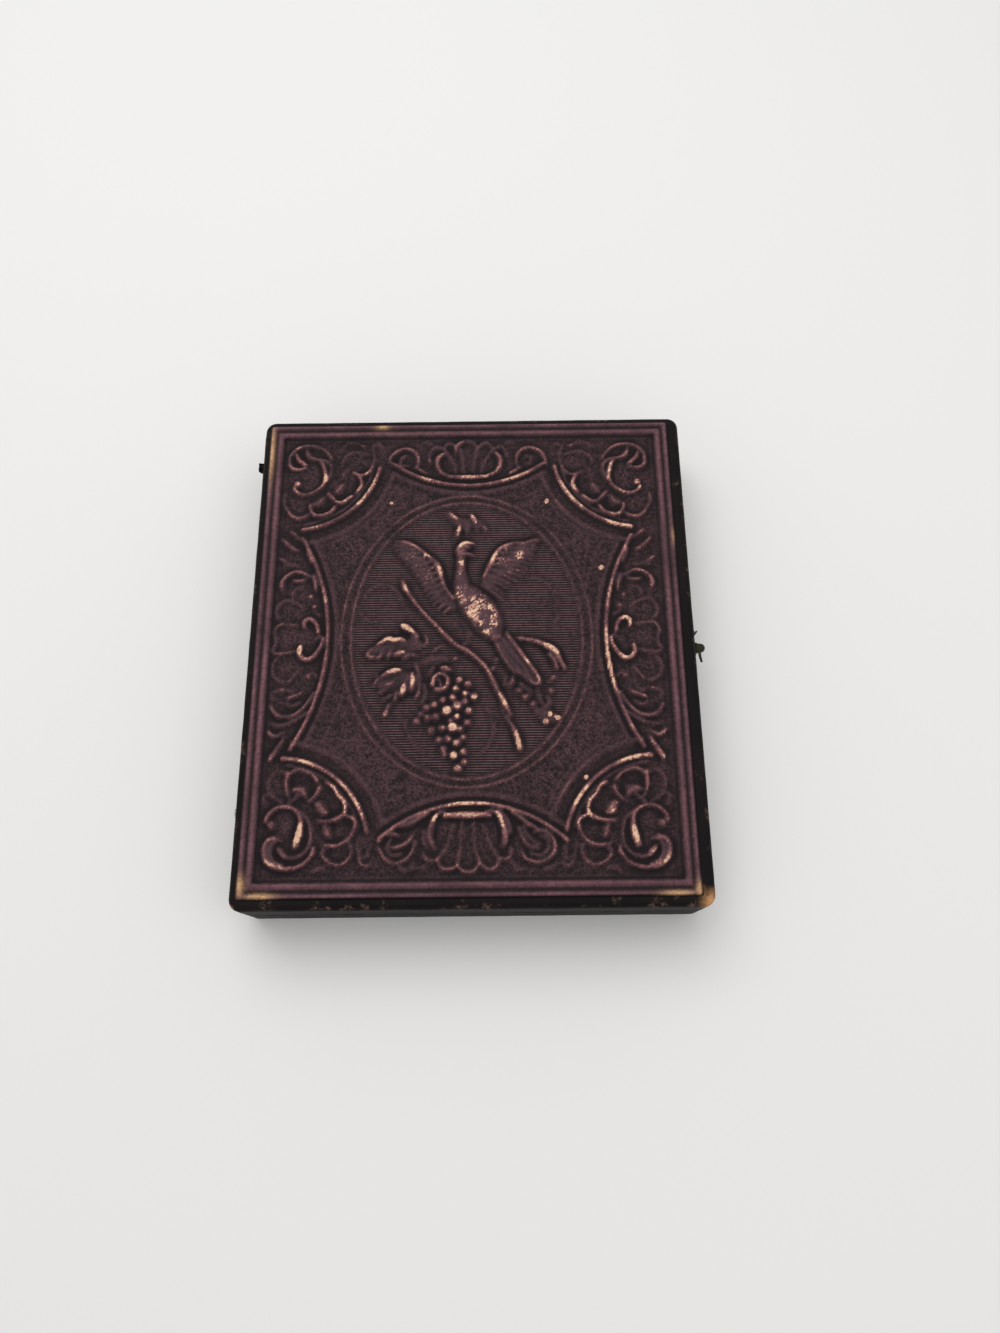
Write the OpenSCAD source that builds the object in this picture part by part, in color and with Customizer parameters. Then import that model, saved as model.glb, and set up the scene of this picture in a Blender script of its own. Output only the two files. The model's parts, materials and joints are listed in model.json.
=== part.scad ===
// Leather-covered wooden case for a sixth-plate daguerreotype, closed and lying flat.
// The origin is the middle of the underside, +X the fore edge, +Y the head, +Z up.

/* [Plate packet] */
// Width of the silvered plate, which the whole case is made round
plate_w = 69.85; // [50:0.05:110]
// Length of the silvered plate
plate_l = 82.55; // [60:0.05:140]
// Thickness of the silvered plate
plate_t = 0.45; // [0.3:0.05:0.8]
// Thickness of the brass mat
mat_t = 0.3; // [0.2:0.05:0.5]
// Width of the mat between its edge and its oval window
mat_border = 10.8; // [6:0.1:16]
// Thickness of the cover glass
glass_t = 1.6; // [1.2:0.1:1.8]
// Thickness of the sealing tape
tape_t = 0.1; // [0.08:0.01:0.12]
// Width of the tape on each face of the packet
tape_lap = 3; // [2:0.5:4]
// Thickness of the brass preserver frame
foil_t = 0.15; // [0.1:0.05:0.2]
// Width of the preserver frame
preserver_w = 5.5; // [4.5:0.5:7]
// Depth of the preserver's edge, turned back over the packet
preserver_skirt = 1.6; // [1:0.1:2]
// Play round the packet, at each edge
packet_play = 0.2; // [0.1:0.05:0.4]
// Thickness of the velvet-covered retaining strips
retainer_t = 1.2; // [0.8:0.05:1.25]
// How far the retaining strips stand above the meeting edge
retainer_up = 1.0; // [0.5:0.1:1.2]
// Thickness of the lining paper
paper_t = 0.2; // [0.1:0.05:0.3]

/* [Case] */
// Thickness of one half, from its tallest embossing to the meeting edge
half_t = 8.3; // [7.6:0.1:12]
// Radius of the four upright corners
corner_r = 2; // [1.6:0.1:4]
// Radius of the leather where it turns over the outer edge
shoulder_r = 1.0; // [0.6:0.1:1.4]
// Thickness of the leather
leather_t = 0.5; // [0.3:0.05:0.8]
// Thickness of the top and bottom boards
board_t = 2; // [1.4:0.1:3]
// Bevel along the outer edge of the boards
board_bevel = 0.6; // [0.2:0.05:0.9]
// Width of the wooden rails
rail_w = 2.6; // [2:0.1:4]
// Gap between the side leathers at the meeting edge
seam_gap = 0.2; // [0.1:0.05:0.5]

/* [Embossed panel] */
// Smooth margin left round the embossed leather panel
panel_margin = 1.6; // [1:0.1:3]
// How far the panel was laid off the middle, across
panel_dx = -0.5; // [-0.6:0.1:0.6]
// How far the panel was laid off the middle, along
panel_dy = 0.2; // [-0.6:0.1:0.6]
// Height of the tallest embossing above the ground
relief_h = 0.8; // [0.4:0.05:1.2]

/* [Pad] */
// Thickness of the card under the pad
pad_card_t = 0.6; // [0.4:0.1:0.8]
// How far the crown of the pad stands out past the meeting edge
pad_proud = 0.8; // [-0.5:0.1:0.9]
// How far the middle of the pad stands above its edges
pad_crown = 3; // [2.8:0.1:3.6]
// Play round the pad and its card
pad_play = 0.2; // [0.1:0.05:0.4]

/* [Hinges] */
// Thickness of the leather strips at the spine
strip_t = 0.5; // [0.3:0.05:0.6]
// How far the spine strip reaches from the meeting edge, up and down
spine_reach = 5.6; // [4:0.1:6]
// Thickness of the inner hinge strip, each layer
inner_t = 0.3; // [0.2:0.05:0.4]

/* [Latch] */
// Height of the hook's pivot above the meeting edge
pivot_up = 3.2; // [2.6:0.1:4]
// Depth of the catch pin below the meeting edge
catch_down = 1.8; // [1.4:0.1:2.6]
// Radius of the pivot and catch pins
pin_r = 0.45; // [0.35:0.05:0.6]
// Radius of the nails
nail_r = 0.3; // [0.2:0.05:0.4]
// Distance from a pin to the nail that keeps its plate from turning
nail_dy = 3; // [2.4:0.1:4]
// Angle of the open hook from upright
hook_angle = 15; // [14:1:60]
// Thickness of the latch plates
latch_plate_t = 0.5; // [0.4:0.05:0.8]
// Thickness of the hook
hook_t = 0.4; // [0.3:0.05:0.5]
// Length of the knob on the hook's pivot
knob_l = 1.3; // [0.8:0.1:1.8]

/* [Hidden] */
$fn = 48;
eps = 0.01;

// Half sizes, from the packet out to the leather
packet_w = plate_w / 2 + tape_t;
packet_l = plate_l / 2 + tape_t;
cavity_w = packet_w + foil_t + packet_play + retainer_t;
cavity_l = packet_l + foil_t + packet_play + retainer_t;
core_w = cavity_w + rail_w;
core_l = cavity_l + rail_w;
half_w = core_w + leather_t;
half_l = core_l + leather_t;
core_r = corner_r - leather_t;
panel_w = 2 * (half_w - panel_margin);
panel_l = 2 * (half_l - panel_margin);

// Heights in one half, from its lowest embossing up to the meeting edge
ground_z = relief_h;
board_z = ground_z + leather_t;
floor_z = board_z + board_t;
meeting_z = half_t;

// Heights of the packet in the tray
packet_z = floor_z + paper_t;
plate_z = packet_z + tape_t;
mat_z = plate_z + plate_t;
glass_z = mat_z + mat_t;
packet_top = glass_z + glass_t + tape_t;

// Hinge line, at the outer face of the spine strip
hinge_x = -half_w - strip_t;

// Latch: the plates' outer face, the hook's plane and the heads of the pins
latch_face = half_w + latch_plate_t;
latch_gap = 0.1;
hook_x = latch_face + latch_gap;
head_x = hook_x + hook_t + latch_gap;
pivot_z = meeting_z + pivot_up;
catch_z = meeting_z - catch_down;
hook_reach = pivot_up + catch_down;
hook_ring_r = 1.0;
nail_depth = leather_t + 1.1;
pin_depth = leather_t + 1.6;
bore_play = 0.05;

// Colours, as the case shows them
leather_dark = [0.17, 0.16, 0.16];
leather_plum = [0.27, 0.19, 0.21];
wood_colour = [0.55, 0.38, 0.22];
brass_dark = [0.34, 0.30, 0.18];
brass_gilt = [0.80, 0.62, 0.27];
velvet_red = [0.42, 0.07, 0.10];

// Helpers

// Block with round upright corners
module round_block(hw, hl, r, z0, z1) {
    translate([-hw + r, -hl, z0]) cube([2 * (hw - r), 2 * hl, z1 - z0]);
    translate([-hw, -hl + r, z0]) cube([2 * hw, 2 * (hl - r), z1 - z0]);
    for (x = [-1, 1], y = [-1, 1])
        translate([x * (hw - r), y * (hl - r), z0]) cylinder(r = r, h = z1 - z0);
}

// Moulding run round a rectangle: the profile's first value is the distance outside hw, hl
module rim_run(hw, hl, profile) {
    for (side = [-1, 1]) {
        translate([side * hw, 0, 0]) facing(side)
            rotate([90, 0, 0]) translate([0, 0, -hl]) linear_extrude(2 * hl) polygon(profile);
        translate([0, side * hl, 0]) rotate([0, 0, 90]) facing(side)
            rotate([90, 0, 0]) translate([0, 0, -hw]) linear_extrude(2 * hw) polygon(profile);
    }
    for (x = [0, 1], y = [0, 1])
        mirror([x, 0, 0]) mirror([0, y, 0]) translate([hw, hl, 0])
            rotate_extrude(angle = 90) polygon(profile);
}

// Turns a profile round for the side towards minus
module facing(side) {
    if (side > 0) children();
    else mirror([1, 0, 0]) children();
}

// Block centred on the upright axis
module mid_block(hw, hl, z0, z1) {
    translate([-hw, -hl, z0]) cube([2 * hw, 2 * hl, z1 - z0]);
}

// Puts a half's pieces in the lid, upside down over the tray
module in_lid() {
    translate([0, 0, 2 * meeting_z]) mirror([0, 0, 1]) children();
}

// Cylinder lying along X from x0 to x1 at a place on the fore edge
module cross_pin(r, x0, x1, y, z) {
    translate([x0, y, z]) rotate([0, 90, 0]) cylinder(r = r, h = x1 - x0);
}

// Oval outline
function oval(a, b, n = 72) = [for (i = [0:n - 1]) [a * cos(360 * i / n), b * sin(360 * i / n)]];

// Wooden parts of one half

module board() {
    u = core_r;
    profile = [[0, board_z], [u - board_bevel, board_z], [u, board_z + board_bevel],
               [u, floor_z], [0, floor_z]];
    mid_block(core_w - u, core_l - u, board_z, floor_z);
    rim_run(core_w - u, core_l - u, profile);
}

// One rail with mitred ends: side is [0, 1] head, [0, -1] foot, [-1, 0] hinge, [1, 0] latch
module rail(side, top) {
    out_w = side[0] == 0 ? core_w : core_l;
    out_l = side[0] == 0 ? core_l : core_w;
    turn = side[0] == 0 ? (side[1] > 0 ? 0 : 180) : (side[0] > 0 ? -90 : 90);
    intersection() {
        round_block(core_w, core_l, core_r, floor_z, top);
        rotate([0, 0, turn]) translate([0, 0, floor_z]) linear_extrude(top - floor_z)
            polygon([[-out_w, out_l], [out_w, out_l],
                     [out_w - rail_w, out_l - rail_w], [-out_w + rail_w, out_l - rail_w]]);
    }
}

// Leather of one half

// Panel sheet in its own place, a little off the middle
module panel_place() {
    translate([panel_dx, panel_dy, 0]) children();
}

// Smooth leather round the sides, turned over the outer edge
module side_leather() {
    u = corner_r;
    arc = [for (i = [0:8]) let (a = -90 + 90 * i / 8)
        [u - shoulder_r + shoulder_r * cos(a), ground_z + shoulder_r + shoulder_r * sin(a)]];
    inner = u - leather_t;
    top = meeting_z - seam_gap / 2;
    profile = concat([[0, ground_z]], arc,
        [[u, top], [inner, top], [inner, board_z + board_bevel], [inner - board_bevel, board_z],
         [0, board_z]]);
    difference() {
        union() {
            mid_block(half_w - u, half_l - u, ground_z, board_z);
            rim_run(half_w - u, half_l - u, profile);
        }
        panel_place() mid_block(panel_w / 2, panel_l / 2, ground_z - 1, board_z + 1);
    }
}

// Embossing, drawn upwards from the ground at z = 0

// Frame with a bevelled section: half sizes of its middle line, width at foot and crest, height
module bevel_frame(hw, hl, foot, crest, h) {
    section = [[-foot / 2, -eps], [foot / 2, -eps], [crest / 2, h], [-crest / 2, h]];
    corners = [[1, 1], [-1, 1], [-1, -1], [1, -1]];
    points = [for (c = corners, q = section) [c[0] * (hw + q[0]), c[1] * (hl + q[0]), q[1]]];
    faces = [for (i = [0:3], k = [0:3]) let (j = (i + 1) % 4, m = (k + 1) % 4)
        [4 * i + k, 4 * i + m, 4 * j + m, 4 * j + k]];
    polyhedron(points = points, faces = faces, convexity = 4);
}

// Ridge with a peaked section along points [x, y, half width], with its height
module stroke(h, path) {
    n = len(path);
    function part(v) = v / norm(v);
    function along(i) = part([for (k = [0, 1]) path[min(i + 1, n - 1)][k] - path[max(i - 1, 0)][k]]);
    function left(i) = let (d = along(i)) [-d[1], d[0]] * path[i][2];
    points = [for (i = [0:n - 1]) each let (x = path[i][0], y = path[i][1], q = left(i))
        [[x + q[0], y + q[1], -eps], [x, y, h], [x - q[0], y - q[1], -eps]]];
    sides = [for (i = [0:n - 2], k = [0:2]) each let (a = 3 * i + k, b = 3 * i + (k + 1) % 3)
        [[a, a + 3, b + 3], [a, b + 3, b]]];
    ends = [[0, 1, 2], [3 * n - 3, 3 * n - 1, 3 * n - 2]];
    polyhedron(points = points, faces = concat(sides, ends), convexity = 8);
}

// Strokes given as [height share, path]
module strokes(list) {
    for (item = list)
        stroke(item[0] * relief_h, [for (p = item[1]) [p[0] * stretch[0], p[1] * stretch[1], p[2]]]);
}

// Round bead at a place, with its height share
module bead(place, r, share) {
    h = share * relief_h;
    translate([place[0] * stretch[0], place[1] * stretch[1], -eps])
        hull() cylinder(r1 = r, r2 = r * 0.5, h = h + eps, $fn = 6);
}

// Points of a circular arc, for a stroke
function arc_path(centre, r, a0, a1, w, n = 10) =
    [for (i = [0:n]) let (a = a0 + (a1 - a0) * i / n) [centre[0] + r * cos(a), centre[1] + r * sin(a), w]];

// The pattern was laid out on a panel of this size, and is stretched to the panel
pattern_size = [76.2, 88.8];
stretch = [panel_w / pattern_size[0], panel_l / pattern_size[1]];

// Circles that the arcs follow: sides, ends and corners
side_arc = [66, 0];
end_arc = [0, 54.8];
corner_arc = [31.5, 37.5];

// One side's arcs, one end's arcs and one corner's arcs: the ridge and the thin line inside it
side_arcs = [
    [0.95, arc_path(side_arc, 41.1, 150.6, 209.4, 0.6)],
    [0.3, arc_path(side_arc, 45.4, 155.6, 164.5, 0.2, 4)],
    [0.3, arc_path(side_arc, 45.4, 195.5, 204.4, 0.2, 4)]
];
end_arcs = [
    [0.95, arc_path(end_arc, 25, 231, 309, 0.6)],
    [0.3, arc_path(end_arc, 29.2, 241.5, 254, 0.2, 4)],
    [0.3, arc_path(end_arc, 29.2, 286, 298.5, 0.2, 4)]
];
corner_arcs = [
    [0.95, arc_path(corner_arc, 15.9, 190, 266, 0.6)],
    [0.3, arc_path(corner_arc, 19.4, 206, 249, 0.2, 6)]
];

// Scrolls and shells of one corner
corner_scrolls = [
    [0.85, [[25.9, 34.5, 0.25], [25.5, 37, 0.5], [26.8, 39.1, 0.8], [29.3, 39.9, 0.85], [31.8, 39.2, 0.8],
            [33, 37.6, 0.7], [32.6, 35.9, 0.5], [31, 35.2, 0.25]]],
    [0.85, [[27.9, 36.6, 0.25], [26.9, 34.5, 0.5], [27.3, 32.2, 0.65], [29, 30.5, 0.7], [31, 30.1, 0.6],
            [32.8, 31.3, 0.45], [32.9, 32.8, 0.4]]],
    [0.5, [[26.6, 36.8, 0.2], [28.5, 37.6, 0.4], [30, 37.6, 0.4], [30.8, 38.6, 0.2]]],
    [0.5, [[25.2, 38, 0.2], [24.6, 36, 0.25], [25.2, 33, 0.25], [26, 30, 0.2]]],
    [0.6, [[29.5, 27.6, 0.25], [29.7, 25.9, 0.3], [31.2, 24.9, 0.3], [33, 25.6, 0.3], [33.6, 27.4, 0.3],
           [32.4, 28.7, 0.3], [30.6, 28.8, 0.25]]],
    [0.6, [[25.2, 29.2, 0.25], [24.6, 26.8, 0.3], [26, 24.6, 0.3], [28.7, 23.8, 0.3], [30, 25.4, 0.3],
           [28.6, 27.2, 0.25]]],
    [0.6, [[24.5, 32.6, 0.25], [21.5, 32.2, 0.3], [19.8, 30.6, 0.3], [20.6, 28.5, 0.3], [23.6, 26.4, 0.3],
           [24.4, 28.2, 0.25]]],
    [0.6, [[23.5, 36.5, 0.25], [20, 36.3, 0.3], [18.4, 34.5, 0.3], [18.6, 32.5, 0.3], [20.4, 31.8, 0.3],
           [22.6, 32.8, 0.25]]],
    [0.6, [[22.6, 37.6, 0.25], [20.8, 37, 0.3], [19, 38.2, 0.3], [19, 40.2, 0.3], [21.6, 40.6, 0.3],
           [23, 39.4, 0.25]]],
    [0.55, [[14.6, 40.2, 0.2], [14.9, 37.4, 0.25], [16.2, 36.4, 0.3], [17.6, 37.6, 0.25], [17.9, 40.2, 0.2]]]
];
corner_beads = [[24, 31, 0.9], [28, 28.3, 1], [23, 34, 0.8], [24, 38.4, 0.8], [32.2, 33.2, 0.75]];

// Hook and cup in the middle of one side
side_middle = [
    [0.9, [[29.3, -2.3, 0.45], [28.9, -3.6, 0.45], [27.3, -3.7, 0.5], [26.2, -2.2, 0.4], [25.9, 0, 0.35],
           [26.2, 2.2, 0.4], [27.3, 3.7, 0.5], [28.9, 3.6, 0.45], [29.3, 2.3, 0.45]]],
    [0.7, [[30.6, -0.4, 0.2], [30.2, 2.2, 0.25], [31.4, 3.1, 0.3], [33, 2.8, 0.3], [33.9, 1.4, 0.3],
           [33.9, -1.4, 0.3], [33, -2.8, 0.3], [31.4, -3.1, 0.3], [30.2, -2.2, 0.25], [30.4, 0.5, 0.2]]]
];

// Shell work on half of one side
side_scrolls = [
    [0.7, [[29.2, 5.7, 0.2], [30.3, 7.4, 0.3], [32.1, 8, 0.3], [33.6, 6.6, 0.3], [33.5, 4.6, 0.3],
           [32.5, 3.9, 0.2]]],
    [0.65, [[28.8, 6.5, 0.2], [30.7, 8.7, 0.3], [30, 9.9, 0.3], [28.4, 9.6, 0.2]]],
    [0.8, [[27, 10.5, 0.2], [28, 13, 0.5], [30.5, 14.6, 0.65], [33, 13.8, 0.6], [33.7, 12, 0.5],
           [33.2, 10.9, 0.4]]],
    [0.55, [[28.6, 11.2, 0.2], [30, 11.9, 0.4], [31.3, 11.6, 0.2]]],
    [0.55, [[30.4, 16.2, 0.2], [32.4, 16.8, 0.4], [34, 16, 0.2]]],
    [0.7, [[32, 20.8, 0.2], [33.1, 22.6, 0.4], [33.7, 20.4, 0.3], [33, 18, 0.2]]],
    [0.65, [[26.9, 8.5, 0.2], [27.3, 12, 0.3], [28.6, 15.8, 0.4], [30.5, 19.5, 0.15]]]
];
side_beads = [[27.6, 5.6, 0.45], [27.9, 7.2, 0.5], [27.6, 8.7, 0.45], [32.7, 10.4, 0.65]];

// Bar and middle flute of one end
end_middle = [
    [0.95, [[-4.7, 31.5, 0.4], [-2.5, 31.6, 0.6], [2.5, 31.6, 0.6], [4.7, 31.5, 0.4]]],
    [0.6, [[-1.1, 33.4, 0.15], [-1.7, 38.8, 0.25], [-1.2, 40.1, 0.3], [0, 40.5, 0.3], [1.2, 40.1, 0.3],
           [1.7, 38.8, 0.25], [1.1, 33.4, 0.15]]]
];

// Palmette and scroll on half of one end
end_scrolls = [
    [0.85, [[4.4, 31.2, 0.3], [5.8, 32.3, 0.45], [6.5, 34, 0.5], [6.3, 36, 0.45], [5.5, 37.2, 0.2]]],
    [0.6, [[1.8, 39, 0.2], [2.6, 40.2, 0.3], [4, 40.5, 0.3], [4.9, 39.5, 0.3], [3.4, 36.6, 0.2],
           [2.4, 33.4, 0.15]]],
    [0.6, [[5, 39, 0.2], [6.2, 39.6, 0.3], [7.4, 38.6, 0.3], [7, 37.4, 0.2]]],
    [0.5, [[7, 40.3, 0.2], [8.2, 40.5, 0.3], [9.4, 40.3, 0.2]]],
    [0.85, [[9, 35.5, 0.25], [9.3, 38, 0.45], [11.3, 39.4, 0.6], [13.2, 38.8, 0.55], [14.3, 37, 0.4],
            [13.8, 35.5, 0.2]]],
    [0.55, [[10.3, 36.4, 0.2], [11.2, 37.2, 0.4], [12.2, 36.9, 0.2]]],
    [0.7, [[5.4, 30.9, 0.2], [8.5, 32.6, 0.4], [11, 33.8, 0.4], [12.8, 34.6, 0.15]]]
];

// Bird among vine and grapes, in the oval
picture = [
    // Perched bird's branch
    [0.8, [[-11.7, 10.8, 0.5], [-11.2, 9.4, 0.3], [-9.4, 5.9, 0.3], [-6.9, 3.0, 0.35],
          [-4.4, 0.5, 0.35], [-1.9, -1.4, 0.4], [1.1, -3.4, 0.4], [3.6, -6.3, 0.4], [5.1, -9.7, 0.4],
          [7.1, -13.6, 0.45], [8.9, -20.0, 0.6]]],
    // Tail, breast, neck and beak
    [0.8, [[4.3, 1.5, 0.7], [6.6, -1.9, 0.6], [9.6, -6.0, 0.55], [12.1, -9.0, 0.2]]],
    [0.9, [[5.5, 2.2, 0.7], [8.1, -1.1, 0.6], [10.9, -5.0, 0.5], [13.1, -8.1, 0.2]]],
    [1.0, [[-0.9, 10.8, 0.9], [-0.3, 7.9, 1.6], [1.3, 5.4, 1.9], [3.5, 3.4, 1.5], [5.5, 1.4, 0.8]]],
    [1.0, [[-0.6, 17.5, 0.9], [-0.8, 15.7, 1.1], [-0.9, 12.8, 1.1], [-0.7, 9.8, 1.3]]],
    [0.8, [[-0.5, 17.6, 0.7], [0.6, 18.2, 0.35], [1.5, 18.1, 0.1]]],
    // Left wing
    [1.0, [[-2.4, 7.9, 0.5], [-4.5, 10.3, 0.55], [-5.7, 13.3, 0.55], [-6.9, 15.3, 0.5],
          [-9.1, 17.3, 0.5], [-11.1, 18.4, 0.4], [-13.1, 18.4, 0.2]]],
    [0.7, [[-6.5, 14.7, 0.3], [-9.4, 16.5, 0.45], [-12.9, 16.9, 0.15]]],
    [0.7, [[-5.9, 13.4, 0.3], [-8.7, 14.7, 0.45], [-11.5, 15.2, 0.15]]],
    [0.7, [[-5.3, 11.9, 0.3], [-7.7, 12.7, 0.45], [-10.1, 12.9, 0.15]]],
    [0.7, [[-4.7, 10.5, 0.3], [-6.9, 11.0, 0.45], [-9.0, 11.1, 0.15]]],
    [0.7, [[-3.9, 9.1, 0.3], [-5.9, 9.1, 0.45], [-7.7, 8.9, 0.15]]],
    [0.7, [[-3.1, 7.8, 0.3], [-5.1, 7.6, 0.45], [-6.9, 7.3, 0.15]]],
    [0.7, [[-2.3, 6.5, 0.3], [-4.1, 5.8, 0.45], [-5.5, 5.1, 0.15]]],
    [0.7, [[-1.1, 5.1, 0.3], [-2.9, 4.6, 0.4], [-4.5, 4.2, 0.15]]],
    // Right wing
    [1.0, [[2.1, 9.4, 0.5], [3.3, 11.8, 0.55], [4.8, 14.7, 0.55], [6.8, 17.1, 0.5],
          [9.3, 18.0, 0.5], [13.1, 18.5, 0.2]]],
    [0.7, [[6.3, 16.1, 0.3], [9.1, 16.6, 0.45], [12.9, 17.4, 0.15]]],
    [0.7, [[5.5, 14.7, 0.3], [8.1, 15.0, 0.45], [11.3, 15.6, 0.15]]],
    [0.7, [[4.9, 13.3, 0.3], [7.7, 13.4, 0.45], [11.0, 13.7, 0.15]]],
    [0.7, [[4.3, 11.8, 0.3], [7.1, 11.7, 0.45], [10.1, 11.7, 0.15]]],
    [0.7, [[3.7, 10.4, 0.3], [6.3, 10.3, 0.4], [9.0, 10.4, 0.15]]],
    [0.7, [[3.1, 9.0, 0.3], [5.5, 8.9, 0.4], [7.6, 9.1, 0.15]]],
    [0.7, [[2.7, 7.5, 0.3], [4.1, 7.5, 0.35], [5.4, 7.7, 0.15]]],
    // Tuft of leaves over the head
    [0.7, [[-3.5, 24.5, 0.2], [-2.4, 23.8, 0.6], [-1.3, 23.0, 0.15]]],
    [0.7, [[0.5, 24.1, 0.2], [1.1, 23.2, 0.6], [1.7, 22.0, 0.15]]],
    [0.7, [[-1.1, 22.2, 0.2], [-1.7, 21.0, 0.5], [-2.2, 19.7, 0.15]]],
    [0.6, [[2.5, 21.8, 0.2], [3.3, 21.1, 0.45], [4.0, 20.2, 0.15]]],
    // Vine leaf and rosette
    [0.9, [[-16.1, -1.6, 0.2], [-14.4, -0.6, 0.6], [-12.7, -0.4, 0.6], [-10.9, -0.8, 0.2]]],
    [0.9, [[-11.8, 1.7, 0.2], [-10.5, 0.6, 0.55], [-8.3, -1.0, 0.2]]],
    [0.9, [[-18.0, -3.8, 0.2], [-16.5, -2.6, 0.6], [-15.1, -2.3, 0.3]]],
    [0.9, [[-15.6, -4.0, 0.2], [-13.9, -3.1, 0.55], [-12.3, -3.2, 0.55], [-9.8, -3.6, 0.2]]],
    [0.8, [[-15.6, -7.4, 0.2], [-13.5, -6.8, 0.6], [-11.2, -6.5, 0.2]]],
    [0.8, [[-16.1, -8.7, 0.2], [-14.7, -9.2, 0.6], [-13.3, -9.2, 0.2]]],
    [0.9, [[-9.8, -7.1, 0.2], [-10.0, -8.8, 0.5], [-11.3, -10.2, 0.5], [-12.7, -11.3, 0.2]]],
    [0.8, [[-14.5, -14.2, 0.15], [-13.9, -13.4, 0.45], [-13.3, -12.5, 0.15]]],
    [0.5, [[-7.9, -3.4, 0.3], [-10.9, -4.8, 0.3], [-14.4, -5.6, 0.2]]],
    [0.9, [[-4.9, -6.6, 0.3], [-6.3, -7.2, 0.45], [-6.4, -8.8, 0.45], [-5.3, -9.9, 0.45],
          [-3.9, -9.7, 0.45], [-3.4, -8.4, 0.45], [-4.1, -6.8, 0.35]]],
    // Leaf and sprays on the right
    [1.0, [[11.0, -1.0, 0.2], [12.7, -1.0, 0.45], [14.3, -1.6, 0.55], [15.6, -2.5, 0.55],
          [16.6, -4.2, 0.5], [17.4, -6.3, 0.2]]],
    [0.7, [[11.6, -2.5, 0.2], [13.6, -3.5, 0.4], [15.1, -5.4, 0.15]]],
    [0.7, [[6.1, -7.4, 0.15], [8.3, -9.2, 0.35], [10.3, -11.4, 0.35], [11.7, -12.8, 0.15]]],
    [0.6, [[9.7, -10.5, 0.2], [12.3, -9.3, 0.4], [15.3, -7.9, 0.15]]],
    [0.6, [[10.5, -11.5, 0.2], [12.7, -10.9, 0.4], [15.0, -9.9, 0.15]]],
    [0.6, [[11.5, -12.7, 0.2], [12.9, -13.1, 0.4], [14.3, -12.9, 0.15]]],
    [0.8, [[12.1, -14.0, 0.3], [13.5, -14.8, 0.6], [14.3, -16.4, 0.3]]],
    [0.7, [[14.5, -13.8, 0.2], [15.7, -14.8, 0.5], [15.7, -16.2, 0.2]]],
    // Tendrils
    [0.45, [[-18.9, 7.9, 0.2], [-16.4, 9.8, 0.22], [-13.9, 9.4, 0.22], [-12.3, 6.9, 0.2]]],
    [0.45, [[-18.9, 5.9, 0.15], [-18.1, 3.4, 0.22], [-15.9, 2.4, 0.2]]],
    [0.45, [[11.1, 11.3, 0.15], [14.1, 10.3, 0.22], [16.1, 7.5, 0.22], [16.2, 4.0, 0.2]]],
    [0.45, [[11.4, 5.9, 0.15], [13.7, 6.7, 0.22], [16.1, 5.0, 0.2]]],
    [0.45, [[-10.9, -14.6, 0.15], [-10.4, -17.6, 0.22], [-7.9, -20.5, 0.2]]],
    [0.45, [[1.1, -21.5, 0.15], [4.1, -19.5, 0.22], [4.7, -15.6, 0.2]]]
];
grapes = [
    [-1.5, -8.2], [0.0, -9.0], [-2.3, -9.7], [-0.5, -10.6], [1.1, -11.2], [-2.7, -11.4], [-4.3, -11.9],
    [-5.7, -12.6], [-7.3, -13.3], [-0.5, -12.3], [0.1, -13.6], [-5.5, -14.7], [-7.0, -15.0],
    [-1.9, -14.9], [-8.9, -15.7], [-0.1, -15.9], [-4.5, -16.8], [-1.4, -17.0], [-6.4, -17.3],
    [-3.4, -18.5], [-5.0, -18.9], [-0.9, -18.5], [-1.9, -19.6], [-4.2, -20.5], [-0.7, -21.0],
    [-2.4, -21.7], [-0.6, -22.8], [-1.7, -23.9]
];
large_grapes = [
    [-1.8, -12.9], [-3.5, -13.9], [-2.6, -16.8]
];

// Copies a quarter of the pattern into all four quarters
module quarters() {
    for (x = [0, 1], y = [0, 1]) mirror([x, 0, 0]) mirror([0, y, 0]) children();
}

// Thin raised ring round the oval
module oval_line(a, b, w, share) {
    translate([0, 0, -eps]) linear_extrude(share * relief_h + eps) difference() {
        polygon(oval(a * stretch[0], b * stretch[1]));
        polygon(oval((a - w) * stretch[0], (b - w) * stretch[1]));
    }
}

module embossed_border() {
    bevel_frame(panel_w / 2 - 2.3, panel_l / 2 - 2.0, 1.4, 0.8, relief_h);
    bevel_frame(panel_w / 2 - 0.8, panel_l / 2 - 0.5, 1.0, 0.5, relief_h * 0.8);
    bevel_frame(panel_w / 2 - 3.6, panel_l / 2 - 3.2, 0.5, 0.2, relief_h * 0.3);
    for (x = [0, 1]) mirror([x, 0, 0]) strokes(side_arcs);
    for (y = [0, 1]) mirror([0, y, 0]) strokes(end_arcs);
    quarters() strokes(corner_arcs);
    oval_line(22.2, 27.1, 1.7, 0.25);
    oval_line(22.4, 27.3, 0.4, 0.4);
    oval_line(20.7, 25.6, 0.4, 0.4);
}

module embossed_scrolls() {
    for (x = [0, 1]) mirror([x, 0, 0]) strokes(side_middle);
    for (y = [0, 1]) mirror([0, y, 0]) strokes(end_middle);
    quarters() {
        strokes(corner_scrolls);
        strokes(side_scrolls);
        strokes(end_scrolls);
        for (b = corner_beads) bead(b, b[2], 0.6);
        for (b = side_beads) bead(b, b[2], 0.8);
    }
}

module embossed_picture() {
    strokes(picture);
    for (g = grapes) bead(g, 0.5, 0.75);
    for (g = large_grapes) bead(g, 0.75, 0.9);
}

// Sheet with its embossing turned outwards, down
module embossed_leather(with_picture) {
    panel_place() {
        mid_block(panel_w / 2, panel_l / 2, ground_z, board_z);
        translate([0, 0, ground_z]) mirror([0, 0, 1]) {
            embossed_border();
            if (with_picture) {
                embossed_scrolls();
                embossed_picture();
            }
        }
    }
}

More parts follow.
